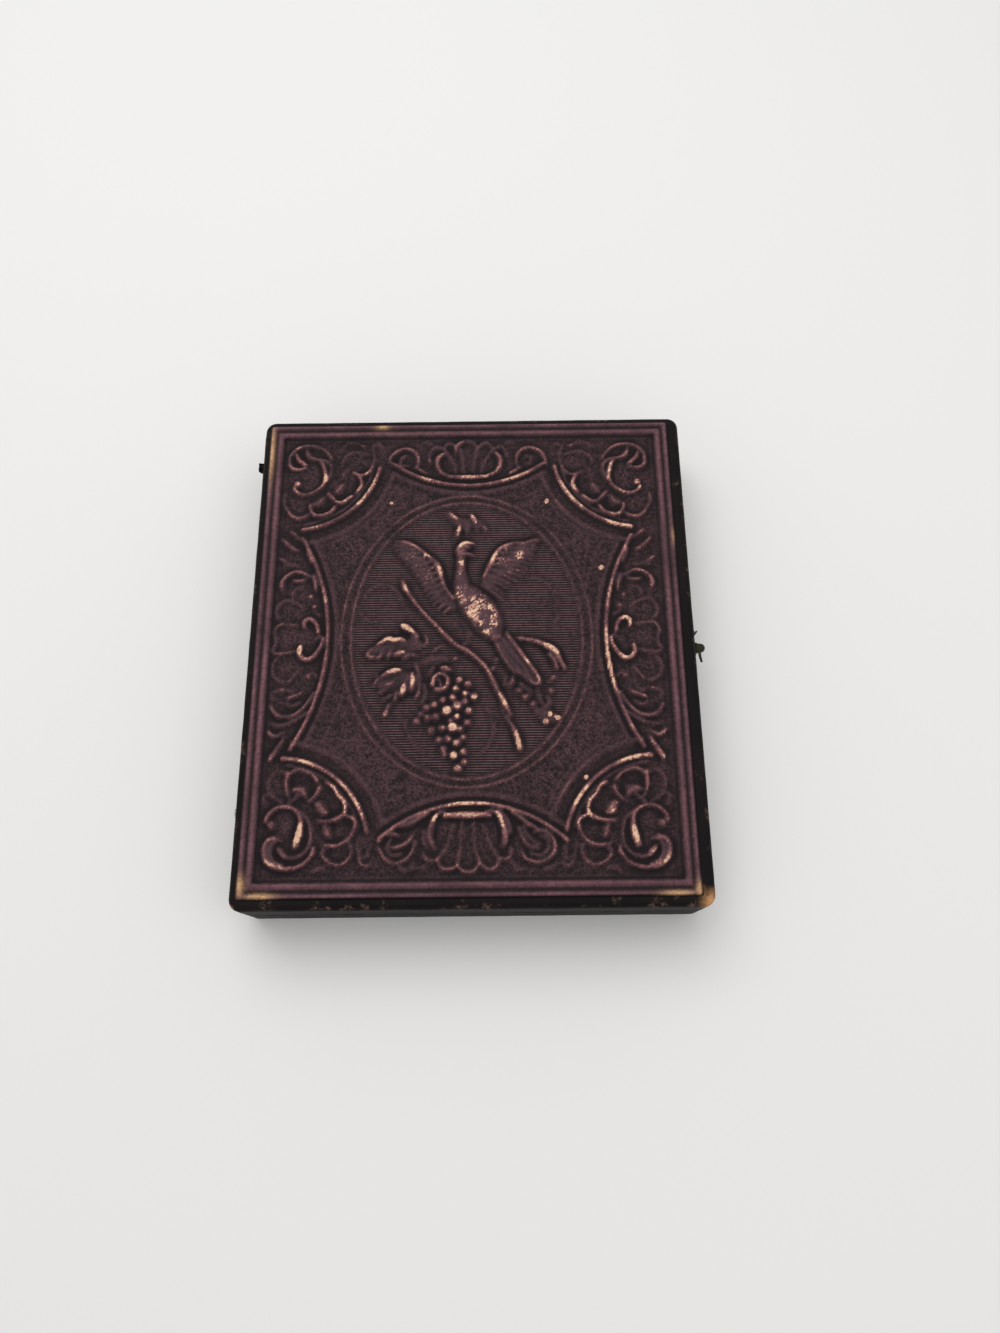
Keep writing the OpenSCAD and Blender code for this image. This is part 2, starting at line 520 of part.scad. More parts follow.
// Packet

module plate_blank(t) {
    clip = 2;
    linear_extrude(t) polygon([
        [plate_w / 2 - clip, -plate_l / 2], [plate_w / 2, -plate_l / 2 + clip],
        [plate_w / 2, plate_l / 2 - clip], [plate_w / 2 - clip, plate_l / 2],
        [-plate_w / 2 + clip, plate_l / 2], [-plate_w / 2, plate_l / 2 - clip],
        [-plate_w / 2, -plate_l / 2 + clip], [-plate_w / 2 + clip, -plate_l / 2]]);
}

module brass_mat() {
    color(brass_gilt) difference() {
        mid_block(plate_w / 2, plate_l / 2, mat_z, glass_z);
        translate([0, 0, mat_z - 1]) linear_extrude(mat_t + 2)
            polygon(oval(plate_w / 2 - mat_border, plate_l / 2 - mat_border));
    }
}

module sealing_tape() {
    w = plate_w / 2;
    l = plate_l / 2;
    color([0.72, 0.66, 0.52]) difference() {
        mid_block(w + tape_t, l + tape_t, packet_z, packet_top);
        mid_block(w, l, plate_z, packet_top - tape_t);
        mid_block(w - tape_lap, l - tape_lap, packet_z - 1, packet_top + 1);
    }
}

module preserver() {
    w = packet_w;
    l = packet_l;
    iw = w - preserver_w;
    il = l - preserver_w;
    window_r = 5;
    color(brass_gilt) {
        difference() {
            mid_block(w + foil_t, l + foil_t, packet_top - preserver_skirt, packet_top + foil_t);
            mid_block(w, l, packet_top - preserver_skirt - 1, packet_top);
            round_block(iw, il, window_r, packet_top - 1, packet_top + 1);
        }
        translate([0, 0, packet_top + foil_t]) {
            bevel_frame(w - 0.9, l - 0.9, 1.0, 0.3, 0.35);
            bevel_frame(w - 3.0, l - 3.0, 1.6, 0.5, 0.45);
        }
    }
}

// Velvet-covered strip along one wall of the tray, standing above the meeting edge
module retainer(length) {
    t = retainer_t;
    step = 0.35;
    top = meeting_z + retainer_up;
    profile = [[0, packet_z], [t, packet_z], [t, meeting_z - 0.3], [t - step, meeting_z],
               [t - step, top - 0.2], [t - step - 0.15, top], [0.15, top], [0, top - 0.2]];
    rotate([90, 0, 0]) translate([0, 0, -length / 2]) linear_extrude(length) polygon(profile);
}

// Pad

// Height of the pad's face over its edge, at u and v from -1 to 1
function pad_rise(u, v) = pow(1 - pow(abs(u), 2.6), 0.6) * pow(1 - pow(abs(v), 3), 0.6);

module pad() {
    nx = 18;
    ny = 20;
    hw = cavity_w - pad_play;
    hl = cavity_l - pad_play;
    base = floor_z + pad_card_t;
    edge = meeting_z + pad_proud - pad_crown;
    draw = 0.4;
    function px(u, v) = u * (hw - draw * (1 - v * v) * abs(u));
    function py(u, v) = v * (hl - draw * (1 - u * u) * abs(v));
    face = [for (j = [0:ny], i = [0:nx]) let (u = 2 * i / nx - 1, v = 2 * j / ny - 1)
        [px(u, v), py(u, v), edge + pad_crown * pad_rise(u, v)]];
    back = [for (j = [0:ny], i = [0:nx]) let (u = 2 * i / nx - 1, v = 2 * j / ny - 1)
        [px(u, v), py(u, v), base]];
    n = (nx + 1) * (ny + 1);
    ring = concat([for (i = [0:nx]) i], [for (j = [1:ny]) j * (nx + 1) + nx],
                  [for (i = [1:nx]) n - 1 - i], [for (j = [1:ny - 1]) (ny - j) * (nx + 1)]);
    m = len(ring);
    quads = [for (j = [0:ny - 1], i = [0:nx - 1]) let (k = j * (nx + 1) + i)
        [k, k + nx + 1, k + nx + 2, k + 1]];
    sides = [for (i = [0:m - 1]) [ring[i], ring[(i + 1) % m], n + ring[(i + 1) % m], n + ring[i]]];
    backs = [[for (i = [0:m - 1]) n + ring[i]]];
    polyhedron(points = concat(face, back), faces = concat(quads, sides, backs), convexity = 4);
}

// Hinges

module spine_leather() {
    color(leather_dark)
        translate([hinge_x, -half_l + corner_r, meeting_z - spine_reach])
            cube([strip_t, 2 * (half_l - corner_r), 2 * spine_reach]);
}

module inner_hinge() {
    l = cavity_l;
    color(leather_plum) {
        translate([-core_w, -l, meeting_z - inner_t]) cube([rail_w, 2 * l, 2 * inner_t]);
    }
}

// Latch

// Latch plate: round about the pin, tapering to the nail
module latch_plate(z) {
    big = 1.25;
    small = 0.75;
    k = (big - small) / nail_dy;
    c = sqrt(1 - k * k);
    cross_pin(big, half_w, latch_face, 0, z);
    cross_pin(small, half_w, latch_face, nail_dy, z);
    translate([half_w, 0, z]) rotate([90, 0, 90]) linear_extrude(latch_plate_t) polygon([
        [big * k, -big * c], [nail_dy + small * k, -small * c],
        [nail_dy + small * k, small * c], [big * k, big * c]]);
}

module headed_pin(r, head_r, x0, x1, x2, y, z) {
    cross_pin(r, x0, x1, y, z);
    translate([x1, y, z]) rotate([0, 90, 0]) rotate_extrude()
        polygon([[0, 0], [head_r, 0], [head_r, (x2 - x1) * 0.4], [head_r * 0.8, (x2 - x1) * 0.8],
                 [head_r * 0.35, x2 - x1], [0, x2 - x1]]);
}

module nail(z) {
    headed_pin(nail_r, nail_r * 1.8, half_w - nail_depth, latch_face, latch_face + 0.3, nail_dy, z);
}

// Holes for the pin and the nail of one latch plate
module latch_holes(z) {
    cross_pin(pin_r + 0.01, half_w - pin_depth, latch_face + 1, 0, z);
    cross_pin(nail_r + 0.01, half_w - nail_depth, latch_face + 1, nail_dy, z);
}

module hook_plate() {
    color(brass_dark) difference() {
        latch_plate(pivot_z);
        latch_holes(pivot_z);
    }
}

module catch_plate() {
    color(brass_dark) difference() {
        latch_plate(catch_z);
        latch_holes(catch_z);
    }
}

module hook_pivot() {
    color(brass_dark) headed_pin(pin_r, 0.85, half_w - pin_depth, head_x, head_x + knob_l, 0, pivot_z);
}

module catch_pin() {
    color(brass_dark) headed_pin(pin_r, 0.75, half_w - pin_depth, head_x, head_x + 0.4, 0, catch_z);
}

// Flat bar across the hook's thickness with the given outline, longer by over at both faces
module hook_bar(outline, over = 0) {
    translate([-over, 0, 0]) rotate([90, 0, 90]) linear_extrude(hook_t + 2 * over) polygon(outline);
}

// Hook drawn hanging straight down with its notch about the catch pin, then swung open
module hook() {
    jaw_r = 1.05;
    notch_r = pin_r + 0.12;
    r = hook_ring_r;
    color(brass_dark) translate([hook_x, 0, pivot_z]) rotate([-hook_angle, 0, 0]) difference() {
        union() {
            cross_pin(r, 0, hook_t, 0, 0);
            cross_pin(jaw_r, 0, hook_t, 0, -hook_reach);
            hook_bar([[-0.6, 0], [-0.5, -hook_reach / 2], [-jaw_r, -hook_reach],
                      [0.1, -hook_reach], [0.35, -hook_reach / 2], [0.6, 0]]);
        }
        cross_pin(pin_r + bore_play, -1, hook_t + 1, 0, 0);
        cross_pin(notch_r, -1, hook_t + 1, 0, -hook_reach);
        translate([0, 0, -hook_reach])
            hook_bar([[0, -notch_r], [2, -notch_r], [2, notch_r + 0.9], [0, notch_r]], 1);
        translate([-1, 0.6, -hook_reach - 2]) cube([hook_t + 2, 2, 2]);
    }
}

// Sub-parts

module tray_board() { color(wood_colour) board(); }
module lid_board() { color(wood_colour) in_lid() board(); }

module tray_rail_head() { color(wood_colour) rail([0, 1], meeting_z); }
module tray_rail_foot() { color(wood_colour) rail([0, -1], meeting_z); }
module tray_rail_hinge() { color(wood_colour) rail([-1, 0], meeting_z - inner_t); }
module tray_rail_latch() {
    color(wood_colour) difference() {
        rail([1, 0], meeting_z);
        latch_holes(catch_z);
    }
}

module lid_rail_head() { color(wood_colour) in_lid() rail([0, 1], meeting_z); }
module lid_rail_foot() { color(wood_colour) in_lid() rail([0, -1], meeting_z); }
module lid_rail_hinge() { color(wood_colour) in_lid() rail([-1, 0], meeting_z - inner_t); }
module lid_rail_latch() {
    color(wood_colour) difference() {
        in_lid() rail([1, 0], meeting_z);
        latch_holes(pivot_z);
    }
}

module tray_side_leather() {
    color(leather_dark) difference() {
        side_leather();
        latch_holes(catch_z);
    }
}
module lid_side_leather() {
    color(leather_dark) difference() {
        in_lid() side_leather();
        latch_holes(pivot_z);
    }
}

module tray_embossed_leather() { color(leather_plum) embossed_leather(false); }
module lid_embossed_leather() { color(leather_plum) in_lid() embossed_leather(true); }

module tray_lining_paper() {
    color([0.62, 0.55, 0.42]) mid_block(cavity_w, cavity_l, floor_z, packet_z);
}

module retainer_side(x) {
    color(velvet_red) mirror([x < 0 ? 1 : 0, 0, 0])
        translate([cavity_w - retainer_t, 0, 0]) retainer(2 * cavity_l);
}
module retainer_end(y) {
    color(velvet_red) mirror([0, y < 0 ? 1 : 0, 0]) rotate([0, 0, 90])
        translate([cavity_l - retainer_t, 0, 0]) retainer(2 * (cavity_w - retainer_t));
}
module retainer_head() { retainer_end(1); }
module retainer_foot() { retainer_end(-1); }
module retainer_hinge() { retainer_side(-1); }
module retainer_latch() { retainer_side(1); }

module silvered_plate() {
    color([0.75, 0.76, 0.78]) translate([0, 0, plate_z]) plate_blank(plate_t);
}
module cover_glass() {
    color([0.85, 0.92, 0.92, 0.4]) mid_block(plate_w / 2, plate_l / 2, glass_z, glass_z + glass_t);
}

module lid_pad_card() {
    color([0.6, 0.52, 0.4]) in_lid()
        mid_block(cavity_w - pad_play, cavity_l - pad_play, floor_z, floor_z + pad_card_t);
}
module lid_pad() { color(velvet_red) in_lid() pad(); }

module catch_nail() { color(brass_dark) nail(catch_z); }
module hook_nail() { color(brass_dark) nail(pivot_z); }

tray_board();
tray_rail_head();
tray_rail_foot();
tray_rail_hinge();
tray_rail_latch();
tray_side_leather();
tray_embossed_leather();
tray_lining_paper();
retainer_head();
retainer_foot();
retainer_hinge();
retainer_latch();
silvered_plate();
brass_mat();
cover_glass();
sealing_tape();
preserver();
catch_plate();
catch_pin();
catch_nail();
lid_board();
lid_rail_head();
lid_rail_foot();
lid_rail_hinge();
lid_rail_latch();
lid_side_leather();
lid_embossed_leather();
lid_pad_card();
lid_pad();
hook_plate();
hook_pivot();
hook_nail();
hook();
spine_leather();
inner_hinge();
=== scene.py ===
"""Looks of a sixth-plate daguerreotype case, closed and lying on its back.

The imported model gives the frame. Lengths are in metres, unless a name ends in _mm or a comment
or docstring says millimetres.
"""

import json
import logging
import math
from collections.abc import Iterable, Sequence
from dataclasses import dataclass, field
from enum import Enum

import bmesh
import bpy
import numpy as np
from bpy.types import ID, Material, Mesh, NodeSocket, Object
from mathutils import Matrix, Vector

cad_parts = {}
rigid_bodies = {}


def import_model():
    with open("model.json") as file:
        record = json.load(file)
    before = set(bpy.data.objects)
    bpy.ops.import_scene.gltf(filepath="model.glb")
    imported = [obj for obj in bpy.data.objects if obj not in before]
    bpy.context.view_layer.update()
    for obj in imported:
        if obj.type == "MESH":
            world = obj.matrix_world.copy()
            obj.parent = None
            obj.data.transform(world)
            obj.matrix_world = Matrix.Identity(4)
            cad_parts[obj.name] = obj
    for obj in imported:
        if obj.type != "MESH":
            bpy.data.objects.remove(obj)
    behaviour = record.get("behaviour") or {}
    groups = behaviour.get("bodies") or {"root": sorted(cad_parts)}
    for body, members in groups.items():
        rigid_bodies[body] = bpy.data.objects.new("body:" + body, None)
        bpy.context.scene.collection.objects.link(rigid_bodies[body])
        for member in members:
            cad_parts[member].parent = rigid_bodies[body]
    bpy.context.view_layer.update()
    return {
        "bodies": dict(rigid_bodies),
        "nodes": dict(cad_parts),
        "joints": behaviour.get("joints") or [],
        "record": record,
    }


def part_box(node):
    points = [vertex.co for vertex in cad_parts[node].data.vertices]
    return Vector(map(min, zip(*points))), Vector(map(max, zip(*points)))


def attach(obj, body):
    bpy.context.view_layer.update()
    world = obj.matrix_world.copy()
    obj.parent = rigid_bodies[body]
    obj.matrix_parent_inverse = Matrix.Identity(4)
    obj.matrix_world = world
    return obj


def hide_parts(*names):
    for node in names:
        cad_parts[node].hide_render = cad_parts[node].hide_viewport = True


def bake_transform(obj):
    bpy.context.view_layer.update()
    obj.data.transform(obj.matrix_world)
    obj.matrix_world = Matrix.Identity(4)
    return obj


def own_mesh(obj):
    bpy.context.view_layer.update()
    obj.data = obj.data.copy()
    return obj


log = logging.getLogger("case")

MM = 0.001
# Height of the seam between the halves
SEAM_MM = 8.3
SEAM_Z = SEAM_MM * MM

Point = tuple[float, float]
Place = tuple[float, float, float]
Stroke = tuple[float, list[tuple[float, float, float]]]
Colour = tuple[float, float, float]


def srgb(red: int, green: int, blue: int) -> Colour:
    """Turn a colour as it shows on a screen into Blender's linear values.

    Args:
        red: Red, 0 to 255.
        green: Green, 0 to 255.
        blue: Blue, 0 to 255.

    Returns:
        The linear colour.
    """

    def linear(value: float) -> float:
        return value / 12.92 if value <= 0.04045 else ((value + 0.055) / 1.055) ** 2.4

    return (linear(red / 255), linear(green / 255), linear(blue / 255))


# Shader values


class Value:
    """A number in a shader, which takes part in Python arithmetic."""

    def __init__(self, graph: "Graph", socket: NodeSocket) -> None:
        """Wrap a socket of a graph."""
        self.graph = graph
        self.socket = socket

    def _math(self, operation: str, *others: "Value | float") -> "Value":
        """Add a Math node that starts from this value."""
        return self.graph.math(operation, self, *others)

    def __add__(self, other: "Value | float") -> "Value":
        """Sum."""
        return self._math("ADD", other)

    __radd__ = __add__

    def __sub__(self, other: "Value | float") -> "Value":
        """Difference."""
        return self._math("SUBTRACT", other)

    def __rsub__(self, other: float) -> "Value":
        """Difference from a plain number."""
        return self.graph.math("SUBTRACT", other, self)

    def __mul__(self, other: "Value | float") -> "Value":
        """Product."""
        return self._math("MULTIPLY", other)

    __rmul__ = __mul__

    def clamped(self) -> "Value":
        """Kept between 0 and 1."""
        return self.graph.node("ShaderNodeClamp", {}, {"Value": self})

    def between(self, low: float, high: float) -> "Value":
        """Rise smoothly from 0 at low to 1 at high."""
        return self.graph.node(
            "ShaderNodeMapRange",
            {"interpolation_type": "SMOOTHSTEP"},
            {"Value": self, "From Min": low, "From Max": high},
        )


class Graph:
    """The node tree of one material, with short ways to add nodes."""

    def __init__(self, name: str) -> None:
        """Make a material whose tree holds a Principled shader."""
        self.material = bpy.data.materials.new(name)
        self.material.use_nodes = True
        self.tree = self.material.node_tree
        self.shader = self.tree.nodes["Principled BSDF"]

    def _feed(self, socket: NodeSocket, value: object) -> None:
        """Link a value to a socket, or set the socket to it."""
        if isinstance(value, Value):
            self.tree.links.new(value.socket, socket)
        elif isinstance(value, tuple) and len(value) == 3 and socket.type == "RGBA":
            socket.default_value = (*value, 1.0)
        else:
            socket.default_value = value

    def node(
        self,
        kind: str,
        settings: dict[str, object],
        inputs: dict[str | int, object],
        output: str | int = 0,
    ) -> Value:
        """Add a node of any kind.

        Args:
            kind: Blender's name of the node type.
            settings: Properties of the node, set first.
            inputs: Values or links by socket name or place.
            output: The socket that is given back.

        Returns:
            The chosen output.
        """
        made = self.tree.nodes.new(kind)
        for name, setting in settings.items():
            setattr(made, name, setting)
        for name, value in inputs.items():
            self._feed(made.inputs[name], value)
        return Value(self, made.outputs[output])

    def math(self, operation: str, *terms: Value | float) -> Value:
        """Add a Math node of Blender's name for the operation, with its terms in order."""
        return self.node("ShaderNodeMath", {"operation": operation}, dict(enumerate(terms)))

    def place(self) -> Value:
        """Place on the piece, in metres, which moves with the piece."""
        return self.node("ShaderNodeTexCoord", {}, {}, "Object")

    def axis(self, index: int) -> Value:
        """One coordinate of the place on the piece in metres: 0 for X, 1 for Y, 2 for Z."""
        return self.node("ShaderNodeSeparateXYZ", {}, {0: self.place()}, index)

    def stretched(self, x: float, y: float, z: float) -> Value:
        """Place on the piece with each axis scaled."""
        inputs = {0: self.place(), 1: (x, y, z)}
        return self.node("ShaderNodeVectorMath", {"operation": "MULTIPLY"}, inputs)

    def noise(
        self, scale: float, detail: float = 3.0, rough: float = 0.55, at: Value | None = None
    ) -> Value:
        """Noise over the piece.

        Args:
            scale: Features per metre.
            detail: Octaves.
            rough: Strength of the finer octaves.
            at: Place to read it at, or the place on the piece.

        Returns:
            Noise about 0.5.
        """
        place = at or self.place()
        inputs = {"Vector": place, "Scale": scale, "Detail": detail, "Roughness": rough}
        return self.node("ShaderNodeTexNoise", {}, inputs)

    def cells(self, scale: float) -> Value:
        """Distance to the nearest point of a cell pattern with so many cells per metre."""
        inputs = {"Vector": self.place(), "Scale": scale}
        return self.node("ShaderNodeTexVoronoi", {}, inputs, "Distance")

    def attribute(self, name: str) -> Value:
        """A value painted on the mesh."""
        return self.node("ShaderNodeAttribute", {"attribute_name": name}, {}, "Fac")

    def mixed(self, first: object, second: object, share: object) -> Value:
        """Mix two colours.

        Args:
            first: Colour at share 0.
            second: Colour at share 1.
            share: Share of the second.

        Returns:
            The mixed colour.
        """
        made = self.tree.nodes.new("ShaderNodeMix")
        made.data_type = "RGBA"
        for index, value in ((0, share), (6, first), (7, second)):
            self._feed(made.inputs[index], value)
        return Value(self, made.outputs[2])

    def bump(self, height: Value, depth: float, strength: float = 1.0) -> None:
        """Feed the shader's normal from a height.

        Args:
            height: Height, 0 to 1.
            depth: Depth of a step from 0 to 1, in metres.
            strength: Strength of the effect.
        """
        normal = self.node(
            "ShaderNodeBump", {}, {"Height": height, "Distance": depth, "Strength": strength}
        )
        self._feed(self.shader.inputs["Normal"], normal)

    def set(self, **sockets: object) -> None:
        """Set or link the shader's sockets, with underscores for spaces in their names."""
        for name, value in sockets.items():
            self._feed(self.shader.inputs[name.replace("_", " ")], value)


# Pressed pattern


def arc(centre: Point, radius: float, start: float, end: float, half: float) -> list:
    """Points along a circular arc, as a stroke's path.

    Args:
        centre: Centre of the circle.
        radius: Its radius.
        start: First angle in degrees.
        end: Last angle in degrees.
        half: Half width of the stroke.

    Returns:
        The path.
    """
    steps = max(4, round(abs(end - start) / 3))
    angles = [math.radians(start + (end - start) * i / steps) for i in range(steps + 1)]
    return [
        (centre[0] + radius * math.cos(a), centre[1] + radius * math.sin(a), half) for a in angles
    ]


def curve_through(path: Sequence[Sequence[float]], parts: int = 5) -> np.ndarray:
    """Smooth a path with a curve through its points.

    Args:
        path: Points with any number of values.
        parts: Pieces that each stretch is cut into.

    Returns:
        The finer path, one row a point.
    """
    points = np.array(path, float)
    if len(points) < 3:
        return points
    padded = np.vstack([2 * points[0] - points[1], points, 2 * points[-1] - points[-2]])
    rows = []
    for i in range(1, len(padded) - 2):
        p0, p1, p2, p3 = padded[i - 1 : i + 3]
        for step in range(parts):
            t = step / parts
            rows.append(
                0.5
                * (
                    2 * p1
                    + (p2 - p0) * t
                    + (2 * p0 - 5 * p1 + 4 * p2 - p3) * t * t
                    + (3 * p1 - p0 - 3 * p2 + p3) * t**3
                )
            )
    rows.append(points[-1])
    made = np.array(rows)
    made[:, 2:] = np.maximum(made[:, 2:], points[:, 2:].min(axis=0) * 0.7)
    return made


def unit(values: np.ndarray) -> np.ndarray:
    """Values kept between 0 and 1."""
    return np.clip(values, 0, 1)


def smooth(share: np.ndarray) -> np.ndarray:
    """Ease a share from 0 to 1 in and out."""
    return share * share * (3 - 2 * share)


def blurred(values: np.ndarray, times: int, own: int = 1) -> np.ndarray:
    """Mix each value of a grid with its neighbours, along both axes.

    Args:
        values: The grid.
        times: How many times over.
        own: Weight of the value itself against each neighbour.

    Returns:
        The mixed grid.
    """
    for _ in range(times):
        for axis in (0, 1):
            near = np.roll(values, 1, axis) + own * values + np.roll(values, -1, axis)
            values = near / (own + 2)
    return values


class HeightField:
    """Heights over a rectangle, in millimetres from its middle, worked by strokes and beads."""

    def __init__(self, half_w: float, half_l: float, columns: int, rows: int) -> None:
        """Make a flat field.

        Args:
            half_w: Half the width.
            half_l: Half the length.
            columns: Points across.
            rows: Points along.
        """
        self.xs = np.linspace(-half_w, half_w, columns)
        self.ys = np.linspace(-half_l, half_l, rows)
        self.x, self.y = np.meshgrid(self.xs, self.ys)
        self.height = np.zeros_like(self.x)

    def _window(self, low: Point, high: Point) -> tuple[slice, slice] | None:
        """Rows and columns that cover a box, or None where it lies outside."""
        columns = slice(*np.searchsorted(self.xs, (low[0], high[0])))
        rows = slice(*np.searchsorted(self.ys, (low[1], high[1])))
        if columns.start == columns.stop or rows.start == rows.stop:
            return None
        return rows, columns

    def stroke(self, height: float, path: Sequence[Sequence[float]], edge: float = 0.75) -> None:
        """Raise a rounded ridge along a path of (x, y, half width).

        Args:
            height: Height of its crest.
            path: The path.
            edge: Power of the section: 0.5 is a half round, 1 a parabola.
        """
        points = curve_through(path)
        for (ax, ay, aw), (bx, by, bw) in zip(points[:-1], points[1:]):
            reach = max(aw, bw)
            window = self._window(
                (min(ax, bx) - reach, min(ay, by) - reach),
                (max(ax, bx) + reach, max(ay, by) + reach),
            )
            if window is None:
                continue
            dx, dy = bx - ax, by - ay
            length2 = max(dx * dx + dy * dy, 1e-9)
            x, y = self.x[window], self.y[window]
            t = unit(((x - ax) * dx + (y - ay) * dy) / length2)
            away = (x - ax - t * dx) ** 2 + (y - ay - t * dy) ** 2
            share = unit(1 - away / (aw + (bw - aw) * t) ** 2) ** edge
            self.height[window] = np.maximum(self.height[window], height * share)

    def bead(self, place: Point, radius: float, height: float) -> None:
        """Raise a round bead at a place."""
        self.stroke(height, [(*place, radius), (place[0] + 0.01, place[1], radius)], 0.6)

    def hollow(self, outline: Sequence[Point], depth: float, rim: float) -> None:
        """Sink the inside of an outline like a shallow dish.

        Args:
            outline: Corners of the outline.
            depth: Depth at its middle.
            rim: Distance from the outline over which the dish reaches its depth.
        """
        corners = curve_through([*outline, outline[0]])[:, :2]
        low, high = corners.min(axis=0), corners.max(axis=0)
        window = self._window(tuple(low), tuple(high))
        if window is None:
            return
        x, y = self.x[window], self.y[window]
        inside = np.zeros(x.shape, bool)
        near = np.full(x.shape, 1e9)
        for (ax, ay), (bx, by) in zip(corners[:-1], corners[1:]):
            dx, dy = bx - ax, by - ay
            t = unit(((x - ax) * dx + (y - ay) * dy) / max(dx * dx + dy * dy, 1e-9))
            near = np.minimum(near, np.hypot(x - ax - t * dx, y - ay - t * dy))
            if dy:
                crossing = (ay > y) != (by > y)
                inside ^= crossing & (x < ax + dx * (y - ay) / dy)
        dish = depth * smooth(unit(near / rim))
        self.height[window] -= np.where(inside, dish, 0)

    def frame(self, half_w: float, half_l: float, foot: float, crest: float, height: float) -> None:
        """Raise a rectangular frame with sloping sides.

        Args:
            half_w: Half width of its middle line.
            half_l: Half length of its middle line.
            foot: Width at its foot.
            crest: Width at its crest.
            height: Height of its crest.
        """
        away = np.abs(np.maximum(np.abs(self.x) - half_w, np.abs(self.y) - half_l))
        share = unit((foot / 2 - away) / max((foot - crest) / 2, 1e-6))
        self.height = np.maximum(self.height, height * smooth(share))

    def soften(self) -> None:
        """Round the field off a little, as damp leather over a die does."""
        self.height = blurred(self.height, 1, 2)


def strokes(*rows: tuple) -> list[Stroke]:
    """Strokes from rows in which a point without a width keeps the one before.

    Args:
        rows: The height of each stroke, as a share of the tallest, then its points.

    Returns:
        The strokes, with a half width at each point.
    """
    made = []
    for height, *points in rows:
        path, width = [], 0.0
        for x, y, *given in points:
            width = given[0] if given else width
            path.append((x, y, width))
        made.append((height, path))
    return made


# Strokes of the pattern, in millimetres on the panel: height, then x, y and half width

FOOT_CORNER = strokes(
    (0.95, (33.1, -32.1, 0.35), (32.9, -31.2, 0.4), (32.2, -30.3, 0.42), (31.2, -29.7, 0.4),
     (30, -29.5, 0.36), (28.8, -29.8), (27.8, -30.6, 0.4), (27.3, -31.8, 0.5), (27.3, -33, 0.7),
     (27.5, -34.4, 0.85), (27.9, -35.8, 0.7), (28, -36.4, 0.3)),
    (0.7, (27.6, -30.4, 0.25), (26.2, -31.6, 0.3), (25.6, -33.4, 0.32), (25.5, -35.2),
     (26.1, -36.8), (27.3, -37.8), (28.7, -38.1), (30, -37.8, 0.35)),
    (0.95, (30.9, -36.3, 0.25), (30.4, -37, 0.6), (29.6, -37.6, 0.3)),
    (0.8, (30.4, -35.1, 0.25), (31.3, -35.2, 0.36), (31.9, -36.2), (31.9, -37.5), (31.2, -38.6),
     (29.9, -39.2, 0.3)),
    (0.9, (31.3, -34.6, 0.3), (32.5, -35.2, 0.6), (33, -36.6, 0.7), (32.6, -38.3),
     (31.2, -39.4, 0.6), (29.2, -39.8, 0.45), (27.2, -39.4, 0.36), (25.9, -38.5, 0.3),
     (25, -37.2, 0.45), (24.9, -36.3, 0.3)),
    (0.6, (30.1, -24, 0.27), (31, -23.5), (32.2, -23.7), (33, -24.8), (33.1, -26.2), (32.7, -27.2),
     (31.8, -28.2), (30.6, -28.8, 0.2)),
    (0.55, (33.2, -27.3, 0.2), (33.8, -28.4, 0.35), (33.2, -29.4, 0.2)),
    (0.8, (30, -23.7, 0.36), (30.1, -25.2, 0.38), (29.9, -26.8, 0.32), (29.5, -27.9, 0.2)),
    (0.8, (24.8, -25.2, 0.36), (25.6, -24.2), (27, -23.5, 0.3), (28.2, -23.2), (29.2, -23.6),
     (29.9, -24.5, 0.25)),
    (0.8, (24.4, -26.2, 0.36), (24.8, -27.3), (25.6, -28.3, 0.32), (26.3, -28.9, 0.2)),
    (0.7, (26.6, -27.9, 0.3), (27.3, -26.9, 0.9), (28.4, -26.7, 0.7), (28.9, -26.9, 0.3)),
    (0.75, (27.9, -27.6, 0.25), (28.9, -28.4, 0.28), (29.6, -29, 0.2)),
    (0.85, (23.3, -25.5, 0.3), (22.1, -26.2, 0.36), (21.3, -27.6, 0.3), (20.3, -28.6, 0.42),
     (19.9, -29.8, 0.46), (20.1, -30.8), (21, -31.5), (22.6, -32, 0.36), (24.5, -32, 0.2)),
    (0.75, (22.9, -30.7, 0.3), (23.8, -30.3, 1), (24.3, -29.4, 0.9), (24.9, -29.1, 0.4)),
    (0.8, (19.7, -31.1, 0.3), (18.6, -31.6, 0.4), (18.2, -32.4), (18.5, -33.8, 0.36), (19.2, -35),
     (20.3, -35.8, 0.32), (21.6, -36.1), (23.4, -35.9, 0.25)),
    (0.6, (22.4, -34.7, 0.3), (22.8, -33.8, 0.8), (23.2, -32.9, 0.5)),
    (0.7, (18.9, -35.9, 0.27), (18.6, -37), (19.1, -38.3, 0.32), (20.2, -39.2), (21.4, -39.2),
     (22.6, -38.6), (23.5, -37.4), (23, -36.4, 0.2)),
    (0.5, (23, -39.7, 0.25), (24.2, -39.9, 0.36), (24.9, -40.5, 0.25)),
    (0.6, (17.9, -36, 0.22), (17.3, -37.6, 0.32), (17.2, -38.8, 0.42), (16.2, -39.5, 0.36),
     (15.4, -38.9, 0.22)),
    (0.5, (15.9, -36.2, 0.22), (16, -38, 0.3), (16.8, -38.2, 0.2)),
    (0.85, (30.9, -17.6, 0.2), (31.6, -19, 0.5), (32.6, -20.6, 0.65), (33.3, -21.6, 0.25)),
)

